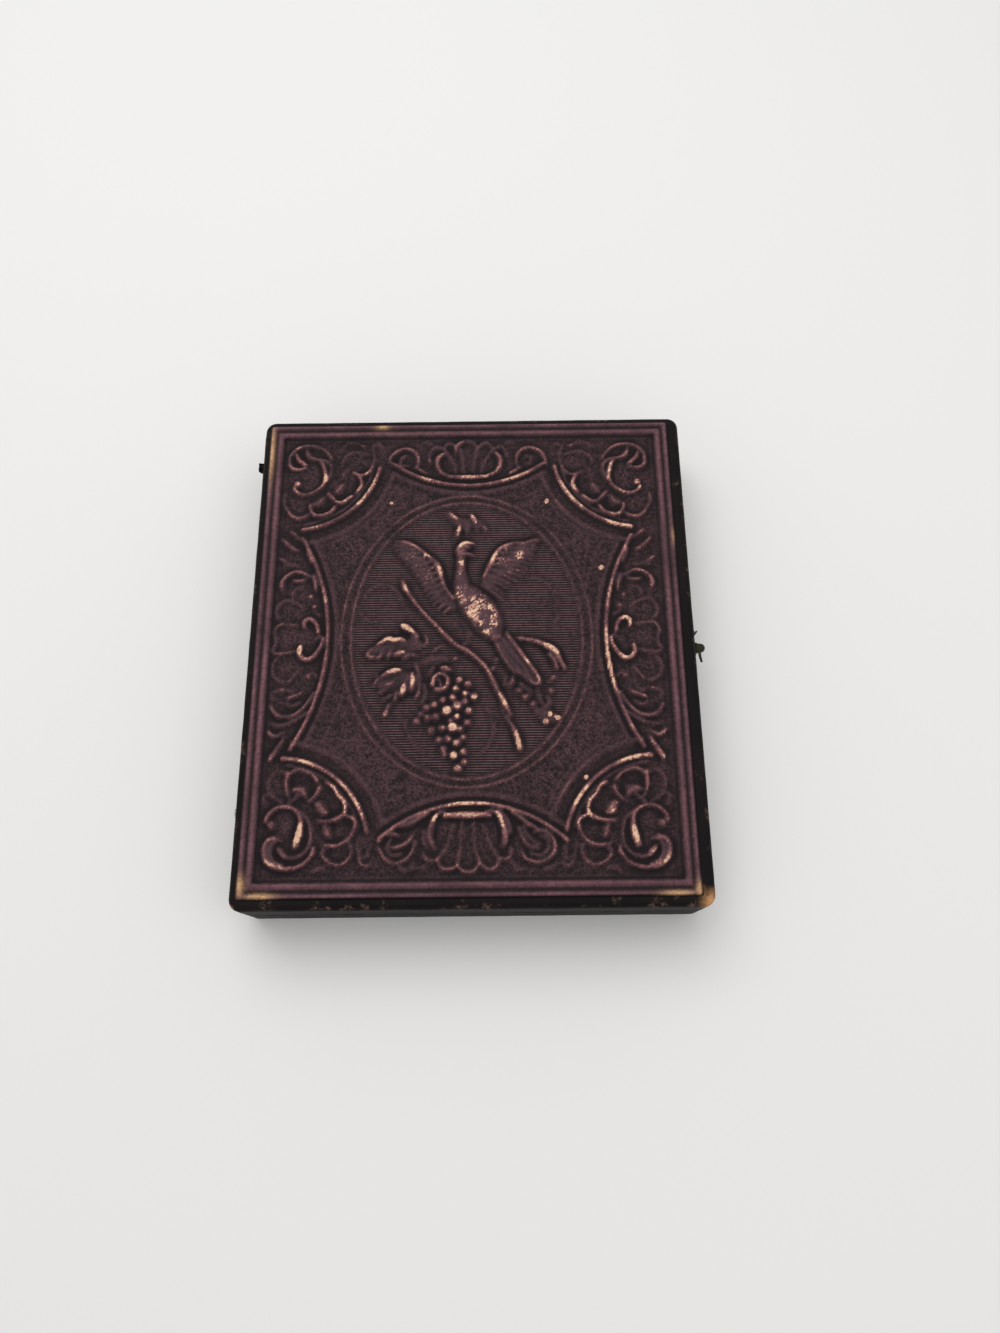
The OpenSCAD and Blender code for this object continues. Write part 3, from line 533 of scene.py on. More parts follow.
HEAD_CORNER = strokes(
    (0.85, (32.2, 30.8, 0.32), (31.6, 29.9, 0.36), (30.4, 29.3), (29, 29.5), (27.8, 30.2),
     (26.8, 31.2, 0.4), (26.3, 32.6, 0.5), (26.4, 34, 0.55), (26.9, 35.6, 0.5), (27.5, 36.2, 0.2)),
    (0.7, (26, 32, 0.3), (25.4, 33.4, 0.32), (25.3, 35, 0.36), (25.8, 36, 0.42), (26.8, 36.6),
     (28, 36.8, 0.36), (29.4, 37.2, 0.6), (30, 38.2, 0.5), (30.2, 39, 0.2)),
    (0.95, (30, 35.5, 0.25), (30.8, 36, 0.55), (31.7, 36.9, 0.5), (32.1, 38, 0.3)),
    (0.8, (30.2, 34.9, 0.3), (31.8, 34.7, 0.42), (33, 35.2, 0.52), (33.3, 36.6, 0.45),
     (33, 38, 0.4), (31.6, 39.4), (29.6, 39.8, 0.36), (27.6, 39.4, 0.3), (26.2, 38.2),
     (25.2, 36.8)),
    (0.95, (24.3, 26.7, 0.36), (25, 25.6, 0.42), (26.4, 24.9, 0.52), (27.8, 24.9),
     (28.6, 25.8, 0.42), (28.9, 27.2, 0.3)),
    (0.9, (24.2, 27.9, 0.3), (24.9, 28.6, 0.42), (25.7, 29.5, 0.36)),
    (0.55, (26.4, 28.7, 0.4), (27.4, 27.4, 0.9), (28.2, 27.3, 0.5)),
    (0.8, (29.2, 25.1, 0.3), (30.1, 24.5, 0.42), (31.2, 24.4), (32.4, 25.1, 0.32),
     (33.4, 26.6, 0.25), (33.9, 28), (33.7, 29.4)),
    (0.95, (21.2, 28.9, 0.36), (22.2, 28, 0.46), (23.1, 27.5), (24, 27.7, 0.25)),
    (0.95, (20.4, 29.6, 0.36), (19.6, 30.8, 0.46), (19.5, 32, 0.42), (20.2, 33.2, 0.3)),
    (0.55, (23, 31.4, 0.4), (23.7, 30.3, 0.9), (24.3, 29.6, 0.4)),
    (0.8, (17.5, 35.4, 0.3), (17.8, 34.4, 0.42), (18.6, 33.6), (19.4, 33.3, 0.32), (20.2, 33.4),
     (21.3, 34, 0.3)),
    (0.5, (22.2, 34.8, 0.3), (22.7, 34, 0.6), (23.1, 33, 0.4)),
    (0.6, (18.4, 37.8, 0.25), (20, 38.3, 0.3), (21.6, 38.2), (22.9, 37.2), (23.4, 36, 0.25)),
    (0.55, (19.2, 39.4, 0.22), (20.6, 40.3, 0.3), (22.4, 40.2), (23.8, 39)),
    (0.5, (17.4, 35.8, 0.22), (17.2, 37.5, 0.27), (17.7, 39.4), (16.6, 40, 0.4),
     (15.6, 39.4, 0.22)),
    (0.75, (30.5, 17.6, 0.25), (31.4, 18, 0.5), (32.8, 19.2), (33.5, 20.1, 0.2)),
    (0.75, (30.6, 20.1, 0.2), (31.4, 21, 0.4), (32.4, 21.8, 0.2)),
)

SIDE_WORK = strokes(
    (0.95, (28.6, 2.6, 0.42), (28.7, 3.6, 0.52), (28, 4.2), (27.1, 3.9, 0.46), (26.4, 3, 0.42),
     (26.1, 1.6, 0.36)),
    (0.95, (25.2, 0.5, 0.42), (25.4, -0.8, 0.46), (26, -2, 0.52), (26.8, -3), (27.8, -3.5),
     (28.8, -3.1), (29.3, -2), (29.1, -0.9, 0.36)),
    (0.6, (25.6, 1, 0.25), (26.5, 0.3, 0.32), (27, -0.2, 0.22)),
    (0.6, (25.9, 4.9, 0.2), (26.7, 5.3, 0.27), (27.3, 6, 0.22)),
    (0.6, (26, -6.9, 0.2), (26.2, -6.3, 0.27), (26.9, -6, 0.22)),
    (0.7, (29.8, 3, 0.27), (31.4, 3.2), (32.8, 3.3, 0.3), (33.6, 2.6), (33.9, 1.6),
     (33.5, 0.5, 0.27), (33.6, -0.8, 0.3), (34, -1.6), (33.6, -2.3), (32.2, -2.3),
     (30.2, -1.9, 0.27)),
    (0.65, (29.1, 6.3, 0.27), (29.8, 7), (31, 7.7, 0.25), (32.2, 7.9, 0.27), (33.1, 7.4, 0.3),
     (33.8, 6.2), (33.6, 4.8), (33, 4.2, 0.2)),
    (0.65, (33.1, -3.3, 0.27), (33.8, -4.4, 0.3), (33.7, -6), (33, -7), (31.8, -7.6, 0.27),
     (30.8, -7.6, 0.25)),
    (0.65, (28.9, -5, 0.22), (29.8, -6.2, 0.27), (30.8, -7.6)),
    (0.85, (28.2, 12.6, 0.2), (30.1, 13.5, 0.32), (31.4, 13.3, 0.36), (32.6, 12.4, 0.42),
     (33.2, 11.2, 0.55), (33, 10.1, 0.36)),
    (0.75, (28.9, 11.9, 0.22), (30.2, 11.6, 0.42), (31.1, 11.8, 0.3)),
    (0.6, (29.2, 10.5, 0.22), (30.4, 10.2, 0.27), (31.1, 9.2, 0.32), (31, 8.4, 0.22)),
    (0.5, (30.2, 14.6, 0.22), (31.8, 14.9, 0.27), (33, 14.6, 0.22)),
    (0.7, (32.3, 15.2, 0.22), (33.4, 15.9, 0.36), (34, 16.4, 0.2)),
    (0.8, (26.9, 9.7, 0.3), (27, 11, 0.52), (27.4, 12.2), (27.5, 12.9, 0.25)),
    (0.8, (28, 15.2, 0.25), (28.3, 16, 0.4), (28.7, 17.2, 0.5), (29, 18.4, 0.25)),
    (0.8, (26.3, -9.6, 0.3), (27.4, -11.6, 0.36), (28.6, -13, 0.42), (30.2, -13.9, 0.46),
     (32, -13.8), (33.2, -12.8, 0.42), (33.6, -11.8, 0.3)),
    (0.65, (27.2, -13, 0.27), (28.6, -14.2, 0.36), (30.4, -15.1), (32.2, -15.5, 0.32),
     (33.3, -15.1, 0.2)),
    (0.75, (28, -9.4, 0.22), (29.2, -10, 0.42), (30.8, -10.6, 0.36)),
    (0.5, (29.4, -9.1, 0.2), (30.2, -9.4, 0.27), (31, -9, 0.2)),
    (0.6, (28.8, -11.4, 0.22), (29.9, -12, 0.36), (31.1, -11.6, 0.25)),
    (0.55, (31.8, -9, 0.3), (32.9, -9.2), (33.7, -9.8), (33.3, -10.8, 0.25)),
    (0.75, (31, -16.6, 0.22), (32.4, -17.4, 0.32), (33.4, -17, 0.46), (33.9, -16.3, 0.2)),
)

FOOT_MIDDLE = strokes(
    (1.0, (-4.2, -31.1, 0.3), (-3.2, -30.9, 0.65), (0, -30.9, 0.78), (2.5, -30.9, 0.65),
     (3.7, -31.1, 0.3)),
    (0.95, (2.8, -30.3, 0.3), (4, -30.3, 0.4), (5, -31, 0.55), (5.6, -32.4, 0.65), (6, -33.8, 0.7),
     (6, -35.3, 0.6), (5.6, -36.2, 0.25)),
    (0.8, (5, -30.1, 0.3), (6.1, -31.2, 0.36), (6.8, -32.7), (6.9, -34, 0.25)),
    (0.85, (-3.9, -30.4, 0.3), (-4.8, -30.5, 0.4), (-5.7, -31.3, 0.5), (-6.3, -32.8, 0.65),
     (-6.5, -34.4, 0.75), (-6, -35.8, 0.5), (-5.6, -36.4, 0.2)),
    (0.6, (-7.4, -33.4, 0.27), (-7.6, -35, 0.3), (-6.9, -36.3, 0.25)),
    (0.6, (-1.1, -32.2, 0.22), (-1.3, -35, 0.27), (-1.6, -37.5, 0.32), (-1.9, -39.1, 0.36)),
    (0.6, (0.8, -32.2, 0.22), (0.9, -35, 0.27), (1.2, -37, 0.32), (1.8, -38.7, 0.36)),
    (0.6, (-2.6, -32.6, 0.22), (-3.3, -35.3, 0.27), (-4.4, -37.3, 0.32), (-5.2, -38.4, 0.36)),
    (0.6, (2.3, -32.6, 0.22), (3.2, -35, 0.27), (4.2, -37, 0.32), (5, -38.2, 0.36)),
    (0.7, (-1.9, -39.1, 0.27), (-1.2, -40, 0.32), (0, -40.3, 0.36), (1, -40, 0.32),
     (1.8, -38.8, 0.27)),
    (0.7, (1.9, -38.8, 0.27), (2.6, -39.6, 0.32), (3.6, -39.9, 0.36), (4.6, -39.4, 0.32),
     (5, -38.2, 0.27)),
    (0.7, (-5.1, -38.5, 0.27), (-4.6, -39.5, 0.32), (-3.5, -39.8, 0.36), (-2.4, -39.6, 0.32),
     (-1.9, -39, 0.27)),
    (0.7, (5.1, -38.1, 0.3), (6, -38.3, 0.36), (6.8, -37.8), (7, -36.6, 0.3)),
    (0.7, (-7.6, -37.2, 0.3), (-7, -38.1, 0.36), (-5.9, -38.5), (-5, -37.9, 0.3)),
    (0.5, (7, -38.6, 0.25), (7.8, -39.8, 0.32), (8.9, -39.9, 0.25)),
    (0.5, (-9.4, -39.2, 0.25), (-8.3, -39.7, 0.36), (-7.2, -39.2, 0.25)),
    (0.5, (-11.4, -39.4, 0.3), (-10.5, -40, 0.36), (-9.6, -39.8, 0.25)),
    (0.5, (12.4, -39.9, 0.25), (13.7, -39.6, 0.46), (14.6, -39.1, 0.25)),
    (0.8, (10.9, -33.9, 0.42), (12.1, -33.6, 0.5), (13.4, -34.3), (14.2, -35.7, 0.46),
     (14, -37.2, 0.42), (12.8, -38.4), (11.2, -38.8, 0.36), (9.6, -38.3), (8.5, -37, 0.3)),
    (0.6, (11.7, -34.5, 0.22), (12.8, -34.9, 0.32), (13.2, -36), (12.8, -37.1), (11.5, -37.8),
     (10.2, -37.3, 0.27)),
    (0.7, (8.2, -33, 0.27), (9, -35, 0.36), (10, -36.2, 0.32), (11.6, -36.5, 0.25)),
    (0.7, (9, -32.9, 0.25), (9.9, -34.6, 0.32), (11, -35.5, 0.27), (11.7, -35.9, 0.2)),
    (0.8, (-15, -35.4, 0.3), (-14.2, -34.3, 0.46), (-13, -33.9, 0.5), (-11.9, -34.2, 0.4)),
    (0.75, (-14.8, -36.3, 0.32), (-14, -37.8, 0.36), (-12.4, -38.8), (-10.6, -38.3, 0.32),
     (-9.4, -37, 0.3), (-8.8, -35.2, 0.25)),
    (0.8, (-12.7, -36.2, 0.4), (-11.9, -36.2, 0.55), (-10.8, -35.8, 0.4), (-9.8, -35, 0.36),
     (-9.2, -34.2, 0.25)),
    (0.6, (-12.9, -34.9, 0.25), (-13.6, -36.2, 0.32), (-12.8, -37.4), (-11.2, -37.3, 0.27)),
    (0.85, (-11.4, -32.7, 0.3), (-10, -32.4, 0.55), (-8.2, -31.4, 0.5), (-6.6, -30.6, 0.3)),
    (0.9, (7, -30.5, 0.3), (8.5, -31.4, 0.5), (10, -32.6, 0.6), (11.3, -33.2, 0.3)),
)

HEAD_MIDDLE = strokes(
    (1.0, (-3.9, 33, 0.3), (-3.2, 33, 0.5), (0, 32.9, 0.6), (2.4, 33, 0.5), (3.5, 33, 0.25)),
    (0.8, (-3.8, 33.4, 0.3), (-5, 33.8, 0.42), (-5.9, 35.2, 0.6), (-5.9, 37), (-4.8, 38, 0.4)),
    (0.8, (3.4, 33.4, 0.3), (4.8, 33.8, 0.42), (5.8, 35.2, 0.6), (5.9, 37), (5, 38.2, 0.4)),
    (0.6, (-1, 34, 0.22), (-1.2, 36.8, 0.27), (-1.7, 39.2, 0.3)),
    (0.6, (0.9, 34, 0.22), (1.1, 36.8, 0.27), (1.6, 39.2, 0.3)),
    (0.6, (-2.4, 34.2, 0.22), (-3.1, 36.4, 0.27), (-4.6, 38.9, 0.3)),
    (0.6, (2.3, 34.2, 0.22), (3, 36.4, 0.27), (4.5, 38.9, 0.3)),
    (0.85, (-2.4, 38.2, 0.25), (-2.5, 39.3, 0.4), (-1.8, 40.2, 0.45), (-0.9, 40.7, 0.3)),
    (0.65, (-0.9, 40.7, 0.27), (0, 40.8, 0.36), (1, 40.3, 0.3), (1.6, 39.2, 0.27)),
    (0.65, (1.8, 39.2, 0.27), (2.6, 40.2, 0.32), (3.6, 40.3, 0.36), (4.5, 39.2, 0.27)),
    (0.65, (-4.8, 39, 0.27), (-4.2, 40.1, 0.32), (-3.2, 40.2, 0.36), (-2.5, 39.4, 0.27)),
    (0.6, (4.8, 39, 0.27), (5.8, 39.6, 0.32), (6.9, 38.8, 0.3), (7.2, 37.4, 0.25)),
    (0.6, (-7.6, 37.4, 0.25), (-7.2, 38.8, 0.3), (-6.2, 39.6, 0.32), (-5.1, 39.2, 0.27)),
    (0.7, (-7.4, 35.8, 0.25), (-7.45, 36.4, 0.42), (-7.5, 37.1, 0.25)),
    (0.8, (7.6, 33.7, 0.25), (8.6, 34.2, 0.42), (9.7, 35, 0.3)),
    (0.8, (-8, 33.9, 0.25), (-9, 34.4, 0.42), (-10.2, 35.2, 0.3)),
    (0.75, (9.2, 35.4, 0.25), (9, 37.2, 0.36), (10, 38.8, 0.42), (11.8, 39.2, 0.46), (13.5, 38.4),
     (14.4, 36.8, 0.42), (14.6, 35.4, 0.25)),
    (0.75, (-9.7, 35.4, 0.25), (-9.6, 37.2, 0.36), (-10.6, 38.8, 0.42), (-12.3, 39.2, 0.46),
     (-14, 38.4), (-15, 36.8, 0.42), (-14.6, 35.6, 0.25)),
    (0.6, (11, 37.6, 0.25), (11.8, 37, 0.32), (11.5, 35.7, 0.42), (10.6, 35.8, 0.25)),
    (0.7, (-12, 37.8, 0.25), (-12.8, 37, 0.42), (-12.9, 35.5), (-11.6, 35.7, 0.25)),
    (0.5, (-9, 40.3, 0.25), (-8, 40.6, 0.36), (-7, 40.2, 0.25)),
    (0.5, (6.8, 40.2, 0.25), (7.8, 40.6, 0.36), (8.8, 40.3, 0.25)),
)

PICTURE = strokes(
    # vine
    (0.85, (-12.1, 12, 0.25), (-11.6, 10.5, 0.6), (-11, 9.5, 0.4), (-10, 8, 0.32), (-8.7, 6.2),
     (-7.4, 4.7), (-6, 3.2), (-5, 2.1, 0.36), (-3.8, 0.8, 0.5), (-2.6, -0.4, 0.42),
     (-1.5, -1.2, 0.4), (-0.4, -1.7, 0.5), (1.2, -3.1, 0.42), (3, -5, 0.45), (4, -7, 0.5),
     (5, -9.2, 0.52), (6.2, -11.4, 0.5), (7.2, -13.8, 0.4)),
    (0.5, (3.6, -6.6, 0.2), (4.3, -8.6, 0.25), (5.5, -11), (6, -13.2, 0.2)),
    (0.9, (6.3, -13.9, 0.25), (7.3, -15.4, 0.36), (8, -16.8, 0.5), (8.4, -18.2, 0.62),
     (8.7, -19.5, 0.6), (8.8, -20, 0.25)),
    (0.6, (-0.3, -1.6, 0.3), (-0.5, -2.4)),
    # bird
    (0.8, (-1.5, 16.4, 0.8), (-1.5, 17.6, 1), (-0.9, 18.2, 0.95), (-0.2, 18.4, 0.6)),
    (0.95, (-1.9, 16.6, 0.45), (-2, 17.8, 0.5), (-1.3, 18.9, 0.55), (-0.4, 19.2, 0.5),
     (0.4, 19.1, 0.36), (1.2, 18.9, 0.15)),
    (0.9, (-1.6, 16.7, 0.5), (-0.8, 17), (0.2, 16.9, 0.36), (1.1, 16.6, 0.12)),
    (0.85, (-1.4, 16.6, 0.9), (-1.5, 15), (-1.5, 13.5, 1), (-1.4, 12, 1.3), (-1.3, 10.4, 1.7)),
    (0.95, (-1.1, 9.6, 1.9), (0.3, 8, 2.7), (1.9, 6, 3.1), (3.1, 4.1, 2.9), (3.9, 2.3, 2.2),
     (4.8, 0.9, 1.3)),
    (0.4, (5.4, 0.6, 1.2), (7.5, -2.4, 1.6), (9.5, -5.3, 1.5), (11.2, -7.4, 0.7)),
    (0.85, (6.7, 1.3, 0.42), (8, -0.6, 0.5), (9.4, -2.7), (10.8, -4.8, 0.48), (11.8, -6.3, 0.45),
     (12.3, -7.6, 0.4), (12, -8.2, 0.36), (11.1, -8, 0.3)),
    (0.8, (4.8, -0.6, 0.36), (5.6, -2.2, 0.45), (6.6, -3.9), (7.6, -5.3), (8.6, -6.1, 0.36),
     (9.4, -6.3, 0.22)),
    (0.72, (6, 0.5, 0.3), (7.4, -1.8, 0.32), (9, -4), (10.4, -6.3), (11, -7.8, 0.25)),
    (0.72, (5.4, -0.6, 0.3), (7.2, -3.2, 0.32), (8.8, -5.6), (10, -7.1, 0.3), (11, -7.9, 0.25)),
    (0.95, (-2.8, 8.2, 0.5), (-3.6, 9.2, 0.42), (-4.3, 10.4), (-4.9, 12, 0.52), (-5.3, 13.6, 0.66),
     (-5.9, 15.1, 0.62), (-6.8, 16, 0.48), (-7.8, 16.9, 0.42), (-8.9, 17.9), (-10.2, 18.8, 0.45),
     (-11.5, 19.4, 0.48), (-13.2, 19.6, 0.28)),
    (0.42, (-3.2, 7, 1.2), (-5.4, 9.6, 1.9), (-7.4, 12.8, 2.1), (-9.6, 15.8, 1.9),
     (-12, 17.9, 1.1)),
    (0.92, (2.7, 12.2, 0.4), (3.2, 13.3, 0.5), (3.9, 14.8, 0.62), (4.6, 16.3, 0.55),
     (5.4, 17.6, 0.5), (6.5, 18.4), (8.2, 19, 0.45), (10, 19, 0.48), (12.1, 19.5, 0.5),
     (12.9, 19.8, 0.2)),
    (0.42, (3.4, 11, 1.3), (5, 13.6, 1.9), (7, 15.6, 2.2), (9.4, 17, 1.8), (11.6, 18.3, 1)),
    (0.5, (-2.1, 4.2, 0.22), (-2.4, 2.6, 0.25), (-1.6, 2.2, 0.2)),
    (0.5, (0.2, 1.6, 0.22), (-0.2, 0, 0.25), (-1, -0.6, 0.2)),
    # leaves over the bird
    (0.8, (-3.6, 25.6, 0.25), (-2.9, 24.6, 0.62), (-2.1, 24.1, 0.36)),
    (0.5, (-4.3, 25.4, 0.22), (-3.9, 24.7, 0.3)),
    (0.85, (-1.6, 23, 0.25), (-1.9, 21.8, 0.56), (-2.2, 20.8, 0.4)),
    (0.92, (0.3, 25.1, 0.22), (0.9, 24.2, 0.52), (1.4, 23, 0.32)),
    (0.7, (2.6, 22.6, 0.32), (3.2, 21.9, 0.4)),
    (0.6, (-0.3, 23, 0.22), (-0.3, 22, 0.36), (-0.3, 21.3, 0.2)),
    (0.5, (1.4, 22.8, 0.22), (1.6, 21.8, 0.3)),
    (0.32, (-3, 24, 0.8), (-1, 23.2, 1.3), (1.4, 23.4, 1), (2.6, 22.6, 0.7)),
    # vine leaves
    (1.0, (-12, 3.2, 0.3), (-11.3, 2.8, 0.7), (-10.4, 2.2, 0.62), (-9.6, 1.5, 0.42),
     (-9, 0.8, 0.25)),
    (0.7, (-10.2, 1, 0.25), (-9.6, 0.5, 0.42), (-9, 0, 0.25)),
    (0.55, (-7.8, 1.4, 0.25), (-7.5, 0.6, 0.36), (-7.4, -0.3, 0.32), (-8.1, -0.8, 0.25)),
    (1.0, (-16.2, -0.5, 0.3), (-15.3, 0, 0.46), (-14.4, 0.5, 0.66), (-13.2, 0.3, 0.6),
     (-12.1, 0.4, 0.55), (-11.2, -0.1, 0.3)),
    (0.7, (-18, -2.4, 0.32), (-17.6, -1.7, 0.36), (-16.8, -1.2, 0.32), (-16.1, -0.6, 0.3)),
    (0.9, (-18, -2.5, 0.36), (-17.2, -2.9, 0.4), (-16.4, -2.8, 0.25)),
    (0.85, (-16, -3.2, 0.32), (-15.4, -2.4, 0.5), (-15.2, -2, 0.25)),
    (0.9, (-14.4, -2.9, 0.32), (-13.9, -2.1, 0.52), (-13.7, -1.8, 0.25)),
    (1.0, (-13, -2.5, 0.45), (-12.3, -2.2, 0.72), (-11.4, -2, 0.4)),
    (0.7, (-11.4, -3.1, 0.42), (-10.4, -2.4), (-9.3, -2.7, 0.3)),
    (0.4, (-17.2, -1.9, 0.7), (-14, -0.9, 1.4), (-11, -0.6, 1.6), (-9, -0.6, 1)),
    (1.0, (-15.2, -6.4, 0.32), (-14, -5.8, 0.66), (-12.9, -5.4), (-12, -5.3, 0.32)),
    (0.7, (-16.6, -8, 0.3), (-16.1, -7.2, 0.36), (-15.6, -6.6, 0.25)),
    (0.6, (-16.9, -6.1, 0.22), (-16.3, -6.2, 0.3)),
    (0.9, (-14.8, -8.1, 0.25), (-13.8, -7.9, 0.5), (-13, -7.5, 0.36)),
    (0.6, (-15.9, -9.6, 0.27), (-14.8, -9, 0.32), (-14, -8.6, 0.25)),
    (1.0, (-9.9, -5.9, 0.36), (-9.8, -7.3, 0.8), (-10, -8.8, 0.5)),
    (0.8, (-10.7, -6.1, 0.3), (-10.9, -7.2, 0.4)),
    (1.0, (-11.2, -7.9, 0.5), (-11.5, -9.1, 0.75), (-11.9, -10, 0.36)),
    (0.92, (-12.6, -9.5, 0.4), (-12.8, -10.5, 0.52), (-12.9, -11.1, 0.25)),
    (0.6, (-14.9, -10.8, 0.25), (-14.1, -10.3, 0.32), (-13.5, -9.8, 0.25)),
    (0.8, (-13.7, -11.4, 0.25), (-14.2, -12.6, 0.32), (-14.5, -13.4, 0.52), (-14.6, -13.8, 0.2)),
    (0.7, (-9.4, -4, 0.25), (-8.9, -5.6, 0.36), (-8.6, -7.8, 0.34), (-8.7, -9.4, 0.36),
     (-9.2, -10.4, 0.3)),
    (0.5, (-7.8, -8, 0.22), (-7.6, -9.8, 0.3), (-8.2, -11.4, 0.25)),
    (0.4, (-15, -7.6, 1.4), (-12.4, -7.4, 2.4), (-10, -8, 1.6)),
    (0.9, (-6.3, -8, 0.5), (-6, -6.7, 0.48), (-5.2, -6.1, 0.42), (-4.2, -6.3, 0.46),
     (-3.7, -7.2, 0.48), (-3.9, -8.4, 0.46), (-4.8, -9, 0.42), (-5.8, -8.9)),
    (0.8, (-5.2, -7, 0.27), (-4.9, -8.2, 0.42)),
    (1.0, (-4.9, -5, 0.3), (-4.2, -5.1, 0.6), (-3.3, -5.4, 0.36)),
    (0.5, (-6.9, -6.2, 0.25), (-6.5, -5.2, 0.3), (-6.1, -4.7, 0.2)),
    (0.55, (-6.2, -1.7, 0.25), (-5.4, -1.1, 0.32), (-4.6, -0.9, 0.2)),
    (0.4, (-8.2, -4, 0.6), (-6.8, -3.4, 0.8), (-5.2, -3.4), (-3.9, -3.2, 0.5)),
    # leaf and berries on the right
    (1.0, (8.6, 0.5, 0.22), (10.4, 0.2, 0.32), (11.8, -0.1, 0.36), (13, -0.6, 0.5),
     (14.2, -1.3, 0.75), (15.2, -2.1, 0.78), (15.8, -3.2, 0.62), (16.3, -4.3, 0.42),
     (17, -5.5, 0.2)),
    (0.8, (14.1, -2.5, 0.32), (15, -3.7, 0.5), (15.5, -5.3, 0.32)),
    (0.7, (14, -7.6, 0.25), (14.8, -7, 0.5), (15, -6.5, 0.2)),
    (0.75, (13.7, -10.4, 0.3), (14, -11.6, 0.36), (13.4, -12.3, 0.46), (12.9, -12.4, 0.3)),
    (0.5, (11.9, -9, 0.25), (12.3, -10.6, 0.32), (12.8, -11.7, 0.3)),
    (0.8, (7.7, -6.8, 0.27), (7.5, -7.8, 0.46), (7, -8.4, 0.36)),
    (0.45, (6.5, -6.8, 0.3), (6.3, -8.2, 0.4)),
    (0.45, (9, -8, 0.3), (10.6, -9.4, 0.4), (10.4, -10.2, 0.3)),
    (0.6, (12.9, -13.4, 0.5), (13.9, -13.2, 0.52)),
    (0.6, (14.8, -13.9, 0.5), (15.5, -14.5, 0.52)),
    (0.4, (11.9, -13, 0.8), (13.4, -14.2, 1.1), (15, -14.4, 0.8)),
    # tendrils
    (0.4, (-18.9, 8.2, 0.22), (-18.2, 9.8, 0.25), (-17, 10.8), (-15.2, 11), (-13.8, 10.5),
     (-12.8, 9.4), (-12.1, 8), (-11.5, 6.6), (-10.4, 5.6, 0.22)),
    (0.4, (-19.6, 6.2, 0.22), (-18.9, 4.8, 0.25), (-17.9, 4), (-16, 3.6)),
    (0.4, (10.6, 12.1, 0.22), (12.4, 12.1, 0.25), (14, 11.2), (15.2, 9.9), (15.9, 8.2),
     (15.9, 6.8, 0.22)),
    (0.4, (13, 7.3, 0.25), (14.4, 7), (15.6, 6.2), (16, 5.1), (15.7, 4), (15, 3),
     (15.8, 2.4, 0.22)),
    (0.35, (12, 7, 0.2), (11.4, 5.9, 0.25), (11.8, 5), (13, 4.4, 0.22)),
    (0.4, (-11.1, -13.4, 0.22), (-10.9, -15.5, 0.25), (-10.2, -17.4), (-9, -19),
     (-7.4, -20.3, 0.22)),
    (0.4, (3, -12.4, 0.22), (4, -14, 0.25), (4.3, -16), (3.9, -18), (2.9, -19.5),
     (1.8, -20.6, 0.22)),
    (0.4, (18.7, 1.4, 0.2), (18.2, 0.4, 0.25), (18.2, -0.5, 0.2)),
)

# Hollows of the corner petals: their corners, in millimetres
DISHES = (
    ((24.9, -26), (26, -24.4), (28.5, -23.6), (29.8, -25), (29.4, -27.6), (27, -28.6),
     (25.4, -27.8)),
    ((20.3, -30), (21.6, -27.8), (23.4, -26), (24.6, -28.8), (24.4, -31.4), (21.6, -31.4)),
    ((18.7, -32.4), (20, -31.6), (24.2, -32.4), (23.6, -35.4), (20.6, -35.6)),
    ((19.2, -37), (20, -36.2), (23.2, -36.6), (22.2, -38.6), (20.4, -39)),
    ((24.7, 27.5), (25.2, 26), (27, 25.2), (28.4, 26.2), (27.8, 28.2), (26, 29)),
    ((20, 31.4), (20.4, 30), (22.6, 28.2), (23.8, 28.6), (24.8, 30.4), (23, 32.6), (20.4, 32.8)),
    ((18.3, 35.4), (18.8, 34), (20.6, 33.9), (23.6, 34.2), (23, 36.6), (20.6, 37.8)),
)

# Beads in one half, mirrored in the other: x, y, radius
BEADS = [
    (32.1, -32.6, 0.8), (31.6, 31.6, 0.78), (27, 6.6, 0.5), (27.8, 8.6, 0.52), (27.4, -6.6, 0.55),
    (31.9, -9, 0.4), (19.4, 39.6, 0.4),
]

# Grapes and berries: x, y, radius
GRAPES = [
    (-2.4, -3.3, 0.4), (-1.7, -7.2, 0.62), (-0.2, -8, 0.62), (-2.3, -8.8, 0.58), (-0.6, -9.7, 0.58),
    (0.9, -10.3, 0.66), (-2.8, -10.5, 0.62), (-4.5, -10.9, 0.54), (-0.7, -11.2, 0.6),
    (-6, -11.7, 0.6), (-7.4, -12.3, 0.6), (-5.7, -13.8, 0.64), (-7.2, -14, 0.58),
    (-2.1, -13.9, 0.58), (-0.1, -12.8, 0.64), (-9, -14.7, 0.64), (-0.3, -15, 0.6),
    (-4.6, -15.9, 0.58), (-1.5, -16.1, 0.58), (-6.5, -16.3, 0.62), (-3.6, -17.8, 0.58),
    (-5.1, -18, 0.54), (-1, -17.6, 0.54), (-2.1, -18.5, 0.66), (-4.4, -19.6, 0.54),
    (-4.2, -20.5, 0.5), (-0.9, -20.1, 0.6), (-2.6, -20.7, 0.66), (-0.8, -21.9, 0.54),
    (-1.9, -23, 0.7), (-8.3, -13.4, 0.45), (-3.2, -14.6, 0.5), (-2, -11.9, 0.9),
    (-3.8, -12.8, 0.95), (-2.8, -15.8, 0.95), (14.3, -9.4, 0.5), (8.7, -9.3, 0.52),
    (9.8, -10.5, 0.52), (11.2, -11.8, 0.54), (13.3, -15, 0.55), (4.8, -3.6, 0.36),
    (4.3, -5.1, 0.36),
]

